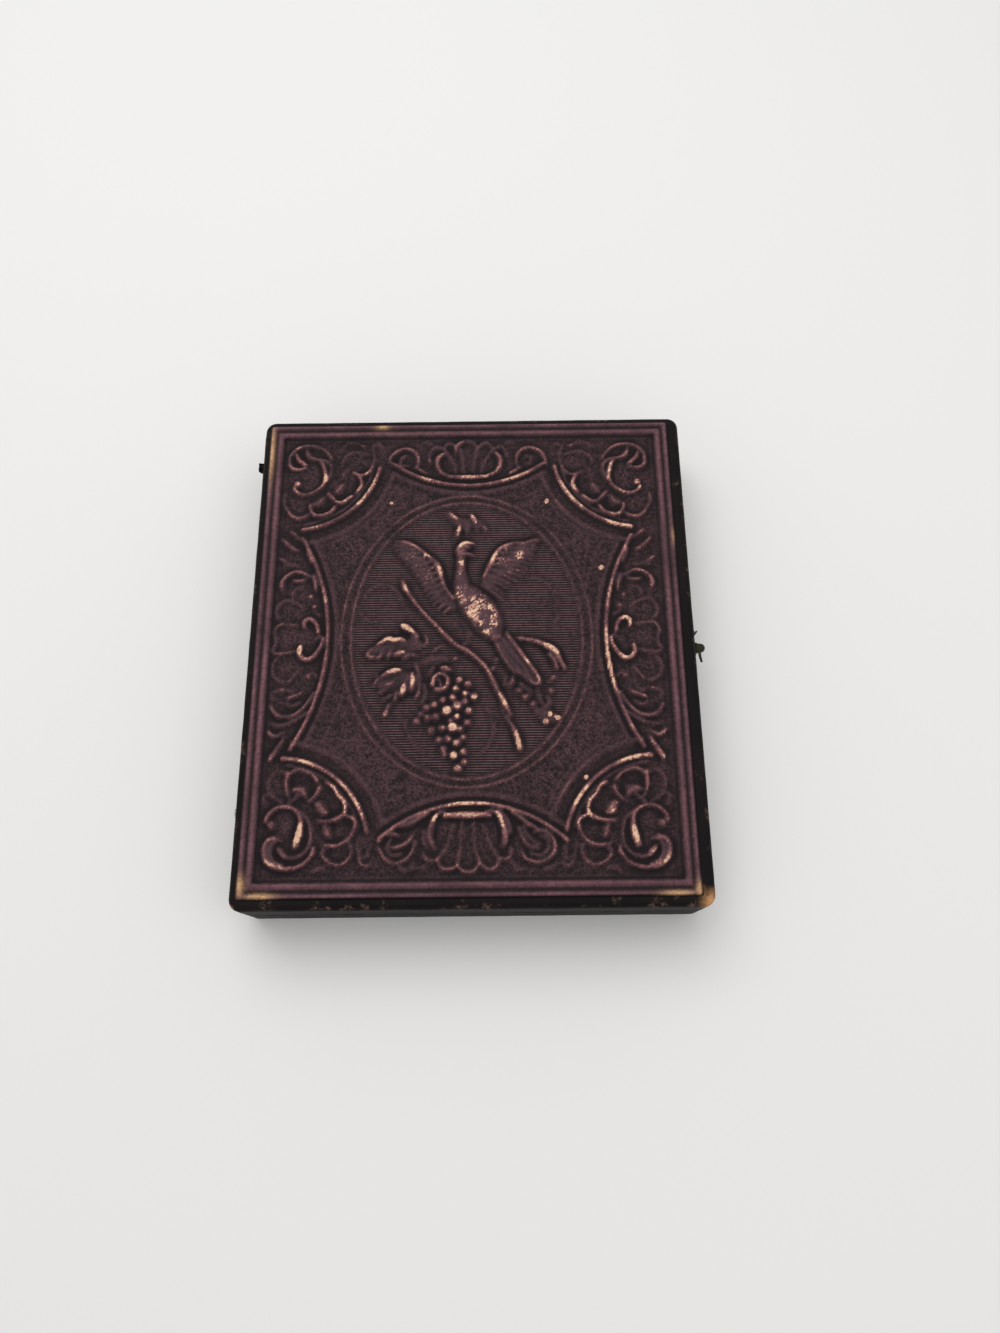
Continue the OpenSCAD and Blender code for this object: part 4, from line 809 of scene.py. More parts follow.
# Ends of the wing feathers: root x and y, tip x and y
FEATHERS = [
    (-10.4, 18.5, -13.6, 18.8), (-9.8, 17.9, -13.3, 17.9), (-9, 17.2, -12.7, 16.8),
    (-8.6, 16.4, -12, 16), (-8, 15.6, -11.4, 15.1), (-7.6, 14.8, -10.8, 14.3),
    (-7.2, 13.9, -10.2, 13.5), (-6.9, 13, -9.6, 12.7), (-6.6, 12.1, -9, 11.8),
    (-6.3, 11.2, -8.5, 10.9), (-6, 10.4, -8, 9.9), (-5.6, 9.6, -7.5, 8.9), (-5.2, 8.8, -6.9, 8),
    (-4.7, 8, -6.3, 7.1), (-4, 7.2, -5.6, 6.2), (-3.2, 6.4, -4.6, 5.3), (9, 18.3, 12.4, 18.5),
    (8.6, 17.7, 12, 17.6), (8.2, 17, 11.7, 16.7), (7.8, 16.3, 11.3, 15.8), (7.4, 15.6, 10.9, 14.9),
    (6.9, 14.9, 10.5, 14), (6.4, 14.2, 10, 13.2), (5.9, 13.5, 9.4, 12.4), (5.4, 12.8, 8.6, 11.6),
    (4.9, 12.1, 7.7, 10.8), (4.4, 11.4, 7, 10), (3.9, 10.7, 6.3, 9), (3.4, 10, 5.9, 8),
]

# Short coverts near the front edges of the wings: root x and y, tip x and y
COVERTS = [
    (-6.2, 14.6, -7.6, 13.9), (-7, 15.5, -8.4, 14.9), (-8, 16.4, -9.5, 15.8),
    (-5.8, 13.4, -7.1, 12.7), (-5.5, 12.2, -6.8, 11.5), (-5, 11, -6.3, 10.3),
    (-4.6, 9.9, -5.8, 9.2), (5.3, 16.9, 8, 17.3), (5.2, 15.9, 7.7, 15.9), (4.7, 14.8, 6.8, 14.6),
    (4.2, 13.7, 6.2, 13.2), (3.6, 12.6, 5.4, 12), (6.2, 17.9, 8.6, 18.1),
]


@dataclass(frozen=True)
class Band:
    """One line that runs beside an arc, in millimetres and degrees."""

    offset: float
    height: float
    half: float
    start: float
    end: float


@dataclass(frozen=True)
class Bow:
    """An arc round the oval with the lines beside it."""

    centre: Point
    radius: float
    bands: tuple[Band, ...]
    both_sides: bool

    def strokes(self, shift: float) -> list[Stroke]:
        """Strokes of the arc and its lines.

        Args:
            shift: Twice the distance of the pattern's middle line from the panel's.

        Returns:
            The strokes, with their copies on the other side where there are any.
        """
        made = [
            (b.height, arc(self.centre, self.radius + b.offset, b.start, b.end, b.half))
            for b in self.bands
        ]
        if self.both_sides:
            made += [mirrored(s, shift) for s in made]
        return made


def mirrored(stroke: Stroke, shift: float, lift: float = 0.0) -> Stroke:
    """Copy a stroke to the other side of the pattern's middle line.

    Args:
        stroke: The stroke.
        shift: Twice the distance of that line from the panel's.
        lift: How far the copy stands towards the head.

    Returns:
        The copy.
    """
    height, path = stroke
    return height, [(shift - x, y + lift, w) for x, y, w in path]


BOWS = (
    Bow((31.9, -36.9), 16.0, (
        Band(0, 0.95, 0.45, 93, 168), Band(2.8, 0.42, 0.6, 97, 164),
        Band(-1.1, 0.45, 0.25, 96, 165), Band(3.95, 0.3, 0.22, 105, 160),
    ), True),
    Bow((31.9, 38.2), 16.05, (
        Band(0, 0.95, 0.45, 191, 263), Band(2.8, 0.42, 0.6, 195, 261),
        Band(-1.1, 0.45, 0.25, 194, 262), Band(3.95, 0.3, 0.22, 200, 255),
    ), True),
    Bow((63.15, 0.5), 38.8, (
        Band(0, 0.95, 0.45, 149, 211), Band(1.5, 0.38, 0.5, 151, 209),
        Band(4.3, 0.3, 0.22, 153.8, 169.3), Band(4.3, 0.3, 0.22, 190.7, 206.2),
    ), True),
    Bow((0.4, -52.2), 23.2, (
        Band(0, 0.95, 0.45, 47, 131), Band(1.6, 0.4, 0.55, 50, 128),
        Band(4.15, 0.3, 0.22, 60, 72), Band(4.15, 0.3, 0.22, 108, 118),
    ), False),
    Bow((0.0, 54.9), 23.75, (
        Band(0, 0.95, 0.45, 233, 306), Band(1.5, 0.4, 0.6, 236, 304),
        Band(4.3, 0.3, 0.22, 241, 251), Band(4.3, 0.3, 0.22, 289, 299),
    ), False),
)


@dataclass(frozen=True)
class Pattern:
    """The pressed pattern, in millimetres from the middle of a panel of this size."""

    width: float = 76.2
    length: float = 88.8
    shift: float = -0.7
    oval_middle: Point = (-0.4, 1.3)
    oval_outer: Point = (22.3, 27.6)
    oval_inner: Point = (20.6, 26.2)

    def in_oval(self, x: np.ndarray, y: np.ndarray, half: Point) -> np.ndarray:
        """Distance from the middle of the oval, as a share of its half width and length."""
        return np.hypot((x - self.oval_middle[0]) / half[0], (y - self.oval_middle[1]) / half[1])

    def oval_lines(self, x: np.ndarray, y: np.ndarray, width: float) -> list[np.ndarray]:
        """Distance from each of the two lines of the oval, as a share of a width."""
        halves = (self.oval_outer, self.oval_inner)
        return [(self.in_oval(x, y, half) - 1) * half[0] / width for half in halves]


class Pressing:
    """Works the pattern into a height field."""

    def __init__(self, pattern: Pattern, columns: int, rows: int, crest_mm: float) -> None:
        """Make the field of one panel.

        Args:
            pattern: The pattern.
            columns: Points across.
            rows: Points along.
            crest_mm: Height of the tallest ridge.
        """
        self.pattern = pattern
        self.crest = crest_mm
        self.field = HeightField(pattern.width / 2, pattern.length / 2, columns, rows)

    def _work(self, worked: Iterable[Stroke], edge: float = 0.75) -> None:
        """Work strokes into the field."""
        for height, path in worked:
            self.field.stroke(height * self.crest, path, edge)

    def border(self) -> None:
        """Ridges round the panel, the arcs and the two lines of the oval."""
        p, crest, field = self.pattern, self.crest, self.field
        w, h = p.width / 2, p.length / 2
        field.frame(w - 1.6, h - 1.4, 2.9, 2.3, 0.42 * crest)
        field.frame(w - 0.75, h - 0.4, 0.9, 0.3, crest)
        field.frame(w - 2.25, h - 2.1, 1.4, 0.7, 0.9 * crest)
        field.frame(w - 3.4, h - 3.3, 0.4, 0.15, 0.3 * crest)
        for bow in BOWS:
            self._work(bow.strokes(p.shift), 0.6)
        for away in p.oval_lines(field.x, field.y, 0.24):
            field.height = np.maximum(field.height, 0.42 * crest * unit(1 - away**2) ** 0.75)

    def scrolls(self) -> None:
        """Petals, shells and scrolls between the arcs and the border."""
        shift = self.pattern.shift
        for dish in DISHES:
            for outline in (dish, [(shift - x, y) for x, y in dish]):
                self.field.hollow(outline, 0.14 * self.crest, 0.8)
        sides = FOOT_CORNER + HEAD_CORNER + SIDE_WORK
        self._work(sides)
        self._work(mirrored(s, shift, 0.3) for s in sides)
        self._work(FOOT_MIDDLE + HEAD_MIDDLE)
        for x, y, radius in BEADS:
            self.field.bead((x, y), radius, 0.85 * self.crest)
            self.field.bead((shift - x, y + 0.3), radius, 0.85 * self.crest)

    def picture(self) -> None:
        """Bird, vine and grapes in the oval."""
        self._work(PICTURE)
        for root_x, root_y, tip_x, tip_y in FEATHERS:
            middle = ((root_x + tip_x) / 2, (root_y + tip_y) / 2 + 0.1, 0.36)
            path = [(root_x, root_y, 0.3), middle, (tip_x, tip_y, 0.2)]
            self.field.stroke(0.72 * self.crest, path)
        for root_x, root_y, tip_x, tip_y in COVERTS:
            path = [(root_x, root_y, 0.36), (tip_x, tip_y, 0.3)]
            self.field.stroke(0.8 * self.crest, path)
        for x, y, radius in GRAPES:
            self.field.bead((x, y), 1.2 * radius, min(1.0, 0.6 + 0.45 * radius) * self.crest)


@dataclass(frozen=True)
class Scuff:
    """A worn place on the panel, in millimetres from its middle."""

    x: float
    y: float
    across: float
    along: float
    strength: float


def scuff_rows(*rows: tuple[float, float, float, float, float]) -> tuple[Scuff, ...]:
    """Worn places from rows of their values."""
    return tuple(Scuff(*row) for row in rows)


# Places where the brown surface is gone and the tan of the leather shows
BARE = scuff_rows(
    (-37.5, 38.5, 0.5, 5.5, 1), (-37.2, -42.2, 0.7, 1.6, 1), (-34, -43.9, 2.2, 0.5, 1),
    (33.9, -44.1, 2.4, 0.5, 1), (37.6, -43.6, 0.7, 1.4, 1), (-16.5, 44, 1.2, 0.6, 0.9),
    (37.6, 20, 0.4, 1.6, 0.5), (38.4, -43.8, 0.6, 1.2, 1),
)
# Places that are rubbed pale
RUBBED = scuff_rows(
    (0, 32.9, 3.6, 0.6, 1), (-7.5, 32.3, 2.8, 0.9, 0.8), (9, 32.9, 2.6, 0.9, 0.8),
    (0.5, -29, 3.4, 0.6, 0.9), (-25.6, 9, 0.8, 1.4, 0.9), (24.6, -5, 0.9, 13, 0.75),
    (19.6, -26.6, 3.6, 3.6, 0.9), (27, -21.5, 4.6, 1, 0.9), (-20.3, -26.6, 3.6, 3.6, 0.9),
    (-28, -21.5, 4.6, 1, 0.8), (18.4, 29.6, 2.6, 3.6, 0.8), (27, 22.8, 4.2, 1, 0.8),
    (-19.2, 29.6, 2.6, 3.6, 0.8), (27.6, -34.4, 0.8, 1.5, 1), (-28.2, -33.6, 0.8, 1.5, 1),
    (-27.7, 33.5, 0.9, 1.4, 0.9), (26.5, 34, 0.8, 1.5, 0.9), (28, 4, 1.1, 0.8, 1),
    (28.3, -3, 1.3, 0.9, 1), (-29.5, -1.2, 0.9, 0.9, 1), (20, -31, 0.8, 0.8, 0.9),
    (18.3, -32.5, 0.8, 1, 0.8), (24, -30.3, 0.9, 0.9, 0.8), (-1.2, 18.9, 1.3, 0.8, 1),
    (-1.5, 8.5, 1.3, 2.4, 0.9), (2, 5.5, 2.4, 2.6, 0.5), (-5.4, 14.2, 0.9, 2.2, 0.8),
    (-9.6, 18.3, 3.4, 0.8, 0.8), (4.4, 15.5, 0.9, 2.2, 0.8), (8.6, 18.7, 3.2, 0.6, 0.8),
    (-11.3, 2.6, 1.3, 0.9, 1), (-14.2, 0.2, 2, 0.7, 1), (-12.3, -2.3, 1.2, 0.6, 1),
    (-13.4, -5.6, 1.6, 0.6, 1), (-9.9, -7.3, 0.7, 1.3, 1), (-11.5, -9, 0.7, 1, 1),
    (-2.9, -12.8, 1.8, 1.2, 1), (-2.8, -15.8, 1, 0.9, 1), (-2.2, -20.4, 1.4, 2.4, 0.7),
    (14.8, -1.7, 1.7, 1.4, 1), (6, -11.4, 1.2, 1.6, 0.6), (8.4, -18.2, 0.8, 1.6, 0.7),
    (-11.5, 10.4, 0.7, 1, 0.7), (-2.6, 24.4, 1.2, 1, 0.9), (1, 24, 0.8, 1.2, 0.9),
    (-2, 21.8, 0.6, 1.2, 0.8), (10.5, -4.5, 2, 3.4, 0.45), (-2, -9, 5, 4, 0.35),
    (-6, 1, 3.4, 5, 0.4), (5.3, -31, 1.2, 1.2, 0.9), (-5.4, -31.4, 1.2, 1.2, 0.8),
    (0, -31, 3.6, 0.6, 1), (13.6, -14.3, 2.2, 1.2, 0.9), (31.5, -38.5, 2, 1.2, 0.7),
    (-32, -38.5, 2, 1.2, 0.7), (30.5, 31, 2, 1.2, 0.7), (-31.2, 31, 2, 1.2, 0.7),
)
# Rough places where only the grain is rubbed
FLECKED = scuff_rows(
    (-1.4, 10.5, 1.5, 2.4, 1), (1.2, 6.8, 2.6, 2.6, 1), (3.4, 3.6, 2.4, 2.4, 0.9),
    (-1.4, 14.5, 0.9, 2.4, 0.5), (8.2, 15.6, 3.4, 2.8, 0.8), (-8.6, 14.6, 3.2, 3.2, 0.75),
)
# Small pale specks: x, y, radius
SPECKS = (
    (24.1, 14.1, 0.4), (-14.5, 27.7, 0.32), (14.5, 27.8, 0.32), (19.8, -24.7, 0.35),
    (13.2, -14.9, 0.34), (14.0, -13.6, 0.34), (15.4, -14.3, 0.34),
)


# Finishes


@dataclass(frozen=True)
class Finish:
    """The look of one kind of surface."""

    name: str

    def build(self) -> Material:
        """Make the material."""
        g = Graph(self.name)
        self._dress(g)
        return g.material

    def _dress(self, g: Graph) -> None:
        """Lay out the shader of this finish."""
        raise NotImplementedError


@dataclass(frozen=True)
class PressedLeather(Finish):
    """Thin dark leather pressed over a die, rubbed on its crests, with painted highlights on its
    crests, ruled lines and frame, and painted shade in its hollows and grooves.
    """

    name: str = "pressed leather"
    ground: Colour = srgb(78, 54, 59)
    # Darkest tone: the random mottle, and the painted shade in the hollows, grooves and ruled gaps.
    shade: Colour = srgb(24, 17, 19)
    ridge: Colour = srgb(81, 55, 61)
    # Painted sheen on the frame ridges.
    frame_sheen: Colour = srgb(116, 78, 87)
    # Painted highlight on the ruled lines.
    ruling_highlight: Colour = srgb(104, 78, 82)
    # Colour of rubbed wear, also used for the painted highlight along the crests.
    rub_and_highlight: Colour = srgb(158, 104, 100)
    cream: Colour = srgb(226, 190, 156)
    bare: Colour = srgb(204, 160, 116)
    ruling_mm: float = 0.46

    def _dress(self, g: Graph) -> None:
        """Lay out the shader."""
        crest, rub_and_highlight, bare = (g.attribute(n) for n in ("crest", "rub_and_highlight", "bare"))
        ruled, hollow_shade, sheen = (g.attribute(n) for n in ("ruled", "hollow_shade", "sheen"))
        patch = g.noise(90, 3)
        speck = g.noise(2400, 3, 0.7)
        cloud = g.noise(380, 3, 0.6).between(0.35, 0.65)
        pebble = g.cells(2600)
        wave = g.axis(1) * (2 * math.pi / (self.ruling_mm * MM))
        line = (g.math("SINE", wave) * 0.8 + 0.5).clamped()
        plain = (1 - ruled) * (1 - crest)
        mottle = g.noise(1150, 3, 0.75).between(0.34, 0.66)
        lit = patch * 0.5 + mottle * 0.8 + cloud * 0.45 - 0.12
        base = g.mixed(self.shade, self.ground, lit.clamped())
        base = g.mixed(base, self.ridge, (crest * 0.8 + patch * 0.3 - 0.15).clamped())
        # Painted sheen in patches on the frame ridges.
        glow = sheen * (g.noise(120, 3) * 4 - 1.4) * (mottle * 0.6 + 0.35)
        base = g.mixed(base, self.frame_sheen, glow.clamped())
        # Painted highlight on each ruled line and painted shade in the gaps between them.
        base = g.mixed(base, self.ruling_highlight, (ruled * line * (mottle * 0.6 + 0.4)).clamped())
        base = g.mixed(base, self.shade, (ruled * (1 - line) * 1.3).clamped())
        # Painted shade in the grooves between the pebbles.
        base = g.mixed(base, self.shade, ((pebble - 0.3) * 1.6 * plain).clamped())
        # Painted shade in the hollows of the relief.
        base = g.mixed(base, self.shade, (hollow_shade * 1.5).clamped())
        # Rubbed wear and the painted crest highlight, paler where strongest.
        rub_and_highlight = rub_and_highlight * (g.noise(230, 2) * 3.2 - 0.7).clamped()
        worn = (rub_and_highlight * 1.6 + (speck - 0.5) * 1.6 * rub_and_highlight.between(0.02, 0.2) - 0.1).clamped()
        base = g.mixed(base, self.rub_and_highlight, worn)
        base = g.mixed(base, self.cream, (worn * 2.2 - 1.3).clamped() * (mottle * 1.5).clamped())
        base = g.mixed(base, self.bare, (bare * (speck * 2.4 - 0.35)).clamped())
        g.set(
            Base_Color=base,
            Roughness=(0.6 - crest * 0.26 + speck * 0.1).clamped(),
            Specular_IOR_Level=0.13,
        )
        fine = pebble * plain * -0.9 + line * ruled * 1.1 + speck * 0.35
        g.bump(fine, 0.1 * MM, 0.9)


@dataclass(frozen=True)
class SmoothLeather(Finish):
    """Thin smooth leather of the sides."""

    name: str = "smooth leather"
    base: Colour = srgb(23, 16, 17)
    dark: Colour = srgb(12, 8, 9)
    scuffed: Colour = srgb(104, 80, 70)
    bare: Colour = srgb(198, 146, 100)

    def _dress(self, g: Graph) -> None:
        """Lay out the shader."""
        patch = g.noise(70, 4)
        grain = g.cells(2600)
        speck = g.noise(1500, 4, 0.7)
        edge = g.attribute("edge")
        rubs = g.noise(300, 4, 0.65)
        scuff = (rubs + edge * 0.1).between(0.62, 0.74) * speck.between(0.42, 0.6)
        base = g.mixed(self.dark, self.base, patch.between(0.3, 0.7))
        base = g.mixed(base, self.scuffed, scuff * (0.3 + edge * 0.5))
        base = g.mixed(base, self.bare, (g.attribute("bare") * (speck * 2.6 - 0.4)).clamped())
        g.set(Base_Color=base, Roughness=0.5 + speck * 0.2, Specular_IOR_Level=0.1)
        g.bump(grain * 0.5 + speck * 0.6, 0.06 * MM, 0.7)


@dataclass(frozen=True)
class Velvet(Finish):
    """Silk velvet with a short pile."""

    name: str = "velvet"
    base: Colour = srgb(104, 20, 28)
    light: Colour = srgb(132, 32, 38)

    def _dress(self, g: Graph) -> None:
        """Lay out the shader."""
        lie = g.noise(70, 2)
        pile = g.noise(7200, 2, 0.8)
        lit = lie.between(0.42, 0.66) * 0.6 + pile * 0.25
        base = g.mixed(self.base, self.light, lit.clamped())
        g.set(Base_Color=base, Roughness=0.85, Sheen_Weight=0.7, Sheen_Roughness=0.35)
        g.bump(pile, 0.12 * MM, 0.8)


@dataclass(frozen=True)
class Metal(Finish):
    """Sheet or turned metal with a tarnish that varies."""

    base: Colour
    tarnish: Colour
    roughness: float = 0.35
    cover: float = 0.5
    grain_scale: float = 2600
    grain_depth_mm: float = 0.02

    def _dress(self, g: Graph) -> None:
        """Lay out the shader."""
        patch = g.noise(420, 4, 0.65)
        grain = g.noise(self.grain_scale, 3, 0.7)
        film = patch.between(0.62 - self.cover * 0.4, 0.75 - self.cover * 0.2)
        base = g.mixed(self.base, self.tarnish, film)
        g.set(
            Base_Color=base,
            Metallic=1 - film * 0.35,
            Roughness=self.roughness + film * 0.25 + grain * 0.12,
        )
        g.bump(grain, self.grain_depth_mm * MM, 0.8)


@dataclass(frozen=True)
class SilverPlate(Finish):
    """Polished silver with the bluish and brown halo that grows in from the mat."""

    name: str = "silvered plate"
    base: Colour = (0.80, 0.81, 0.82)
    blue: Colour = srgb(120, 138, 170)
    brown: Colour = srgb(140, 100, 60)
    window_w: float = 24.1 * MM
    window_l: float = 30.5 * MM

    def _dress(self, g: Graph) -> None:
        """Lay out the shader."""
        radius = g.node(
            "ShaderNodeVectorMath",
            {"operation": "LENGTH"},
            {0: g.stretched(1 / self.window_w, 1 / self.window_l, 0)},
            "Value",
        )
        ragged = radius + (g.noise(160, 4) - 0.5) * 0.24
        base = g.mixed(self.base, self.brown, ragged.between(0.74, 0.9) * 0.6)
        base = g.mixed(base, self.blue, ragged.between(0.88, 1.0) * 0.8)
        speck = g.noise(3000, 2).between(0.68, 0.74)
        base = g.mixed(base, self.brown, speck * 0.4)
        g.set(Base_Color=base, Metallic=1.0, Roughness=0.08 + ragged.between(0.8, 1.0) * 0.2)


@dataclass(frozen=True)
class Wood(Finish):
    """Planed pine with its grain along the rail."""

    name: str = "pine"
    light: Colour = srgb(196, 158, 112)
    dark: Colour = srgb(150, 108, 68)

    def _dress(self, g: Graph) -> None:
        """Lay out the shader."""
        place = g.stretched(1, 0.08, 1)
        ring = g.noise(900, 4, 0.6, place)
        fibre = g.noise(5200, 3, 0.6, place)
        base = g.mixed(self.light, self.dark, ring.between(0.4, 0.68))
        base = g.mixed(base, self.dark, fibre.between(0.5, 0.8) * 0.5)
        g.set(Base_Color=base, Roughness=0.68 + fibre * 0.15)
        g.bump(fibre, 0.04 * MM, 0.7)


@dataclass(frozen=True)
class Paper(Finish):
    """Aged paper or card."""

    name: str = "aged paper"
    base: Colour = srgb(206, 188, 150)
    spot: Colour = srgb(160, 124, 78)

    def _dress(self, g: Graph) -> None:
        """Lay out the shader."""
        foxing = g.noise(260, 5, 0.7).between(0.56, 0.7)
        fibre = g.noise(2400, 3, 0.7)
        base = g.mixed(self.base, self.spot, foxing * 0.6 + fibre * 0.15)
        g.set(Base_Color=base, Roughness=0.9)
        g.bump(fibre, 0.03 * MM, 0.6)


@dataclass(frozen=True)
class Glass(Finish):
    """Thin clear glass, a little greenish."""

    name: str = "cover glass"
    base: Colour = (0.93, 0.97, 0.96)

    def _dress(self, g: Graph) -> None:
        """Lay out the shader."""
        dust = g.noise(700, 4, 0.7).between(0.62, 0.72)
        g.set(Base_Color=self.base, Roughness=0.02 + dust * 0.12, Transmission_Weight=1.0, IOR=1.5)


@dataclass(frozen=True)
class FloorFinish(Finish):
    """Pale matt floor."""

    name: str = "floor"
    base: Colour = srgb(229, 228, 226)

    def _dress(self, g: Graph) -> None:
        """Lay out the shader."""
        g.set(Base_Color=self.base, Roughness=0.9, Specular_IOR_Level=0.1)


class Slot(Enum):
    """Material slots of the record."""

    WOOD = "case_wood"
    SMOOTH = "smooth_leather"
    PRESSED = "embossed_leather"
    VELVET = "velvet"
    PAPER = "lining_paper"
    CARD = "pad_card"
    GILT = "gilt_brass"
    DARK_BRASS = "dark_brass"
    SILVER = "silvered_plate"
    GLASS = "cover_glass"


# Meshes


def linked(name: str, data: ID) -> Object:
    """Make an object of a mesh, a lamp or a camera and put it in the scene."""
    made = bpy.data.objects.new(name, data)
    bpy.context.scene.collection.objects.link(made)
    return made


def new_piece(
    name: str, mesh: Mesh, slot: Slot, material: Material, body: str = "", node: str = ""
) -> Object:
    """Make an object of a mesh, with its material and what carries it.

    Args:
        name: Name of the piece.
        mesh: Its mesh, in the row frame.
        slot: Its slot in the record; not used.
        material: Its material.
        body: The body that it rides on, unless that is said later.
        node: The CAD node that it stands for, where it stands for one.

    Returns:
        The object, smooth shaded.
    """
    made = linked(name, mesh)
    mesh.materials.append(material)
    mesh.polygons.foreach_set("use_smooth", [True] * len(mesh.polygons))
    if body:
        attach(made, body)
    if node:
        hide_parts(node)
    return made


def grid_faces(columns: int, rows: int, start: int = 0) -> np.ndarray:
    """Faces of a grid of points stored row by row.

    Args:
        columns: Points in a row.
        rows: Number of rows.
        start: Number of the first point.

    Returns:
        One row of four point numbers a face, turning left seen from +Z.
    """
    corner = np.arange(rows - 1)[:, None] * columns + np.arange(columns - 1)[None, :] + start
    corner = corner.ravel()
    return np.stack([corner, corner + 1, corner + columns + 1, corner + columns], axis=1)


def grid_rim(columns: int, rows: int) -> np.ndarray:
    """Numbers of the points round the rim of a grid, once round.

    Args:
        columns: Points in a row.
        rows: Number of rows.

    Returns:
        The numbers, turning left seen from +Z.
    """
    sides = (
        np.arange(columns),
        np.arange(1, rows) * columns + columns - 1,
        (rows - 1) * columns + np.arange(columns - 2, -1, -1),
        np.arange(rows - 2, 0, -1) * columns,
    )
    return np.concatenate(sides)


def mesh_from(name: str, points: np.ndarray, faces: Iterable[Sequence[int]]) -> Mesh:
    """Make a mesh.

    Args:
        name: Its name.
        points: One row a point, in metres.
        faces: Point numbers of each face.

    Returns:
        The mesh.
    """
    made = bpy.data.meshes.new(name)
    made.from_pydata(points.tolist(), [], [list(map(int, f)) for f in faces])
    made.update()
    return made


def paint(mesh: Mesh, name: str, values: np.ndarray) -> None:
    """Store a value at each point of a mesh for the shader."""
    layer = mesh.attributes.new(name, "FLOAT", "POINT")
    layer.data.foreach_set("value", values.astype(np.float32).ravel())


def scuffed(field: HeightField, scuffs: Iterable[Scuff]) -> np.ndarray:
    """Strength of the wear over a field.

    Args:
        field: The field that gives the places.
        scuffs: The worn places.

    Returns:
        The strength at each point, 0 to 1.
    """
    total = np.zeros_like(field.x)
    for s in scuffs:
        away = ((field.x - s.x) / s.across) ** 2 + ((field.y - s.y) / s.along) ** 2
        total = np.maximum(total, s.strength * np.exp(-away))
    return total


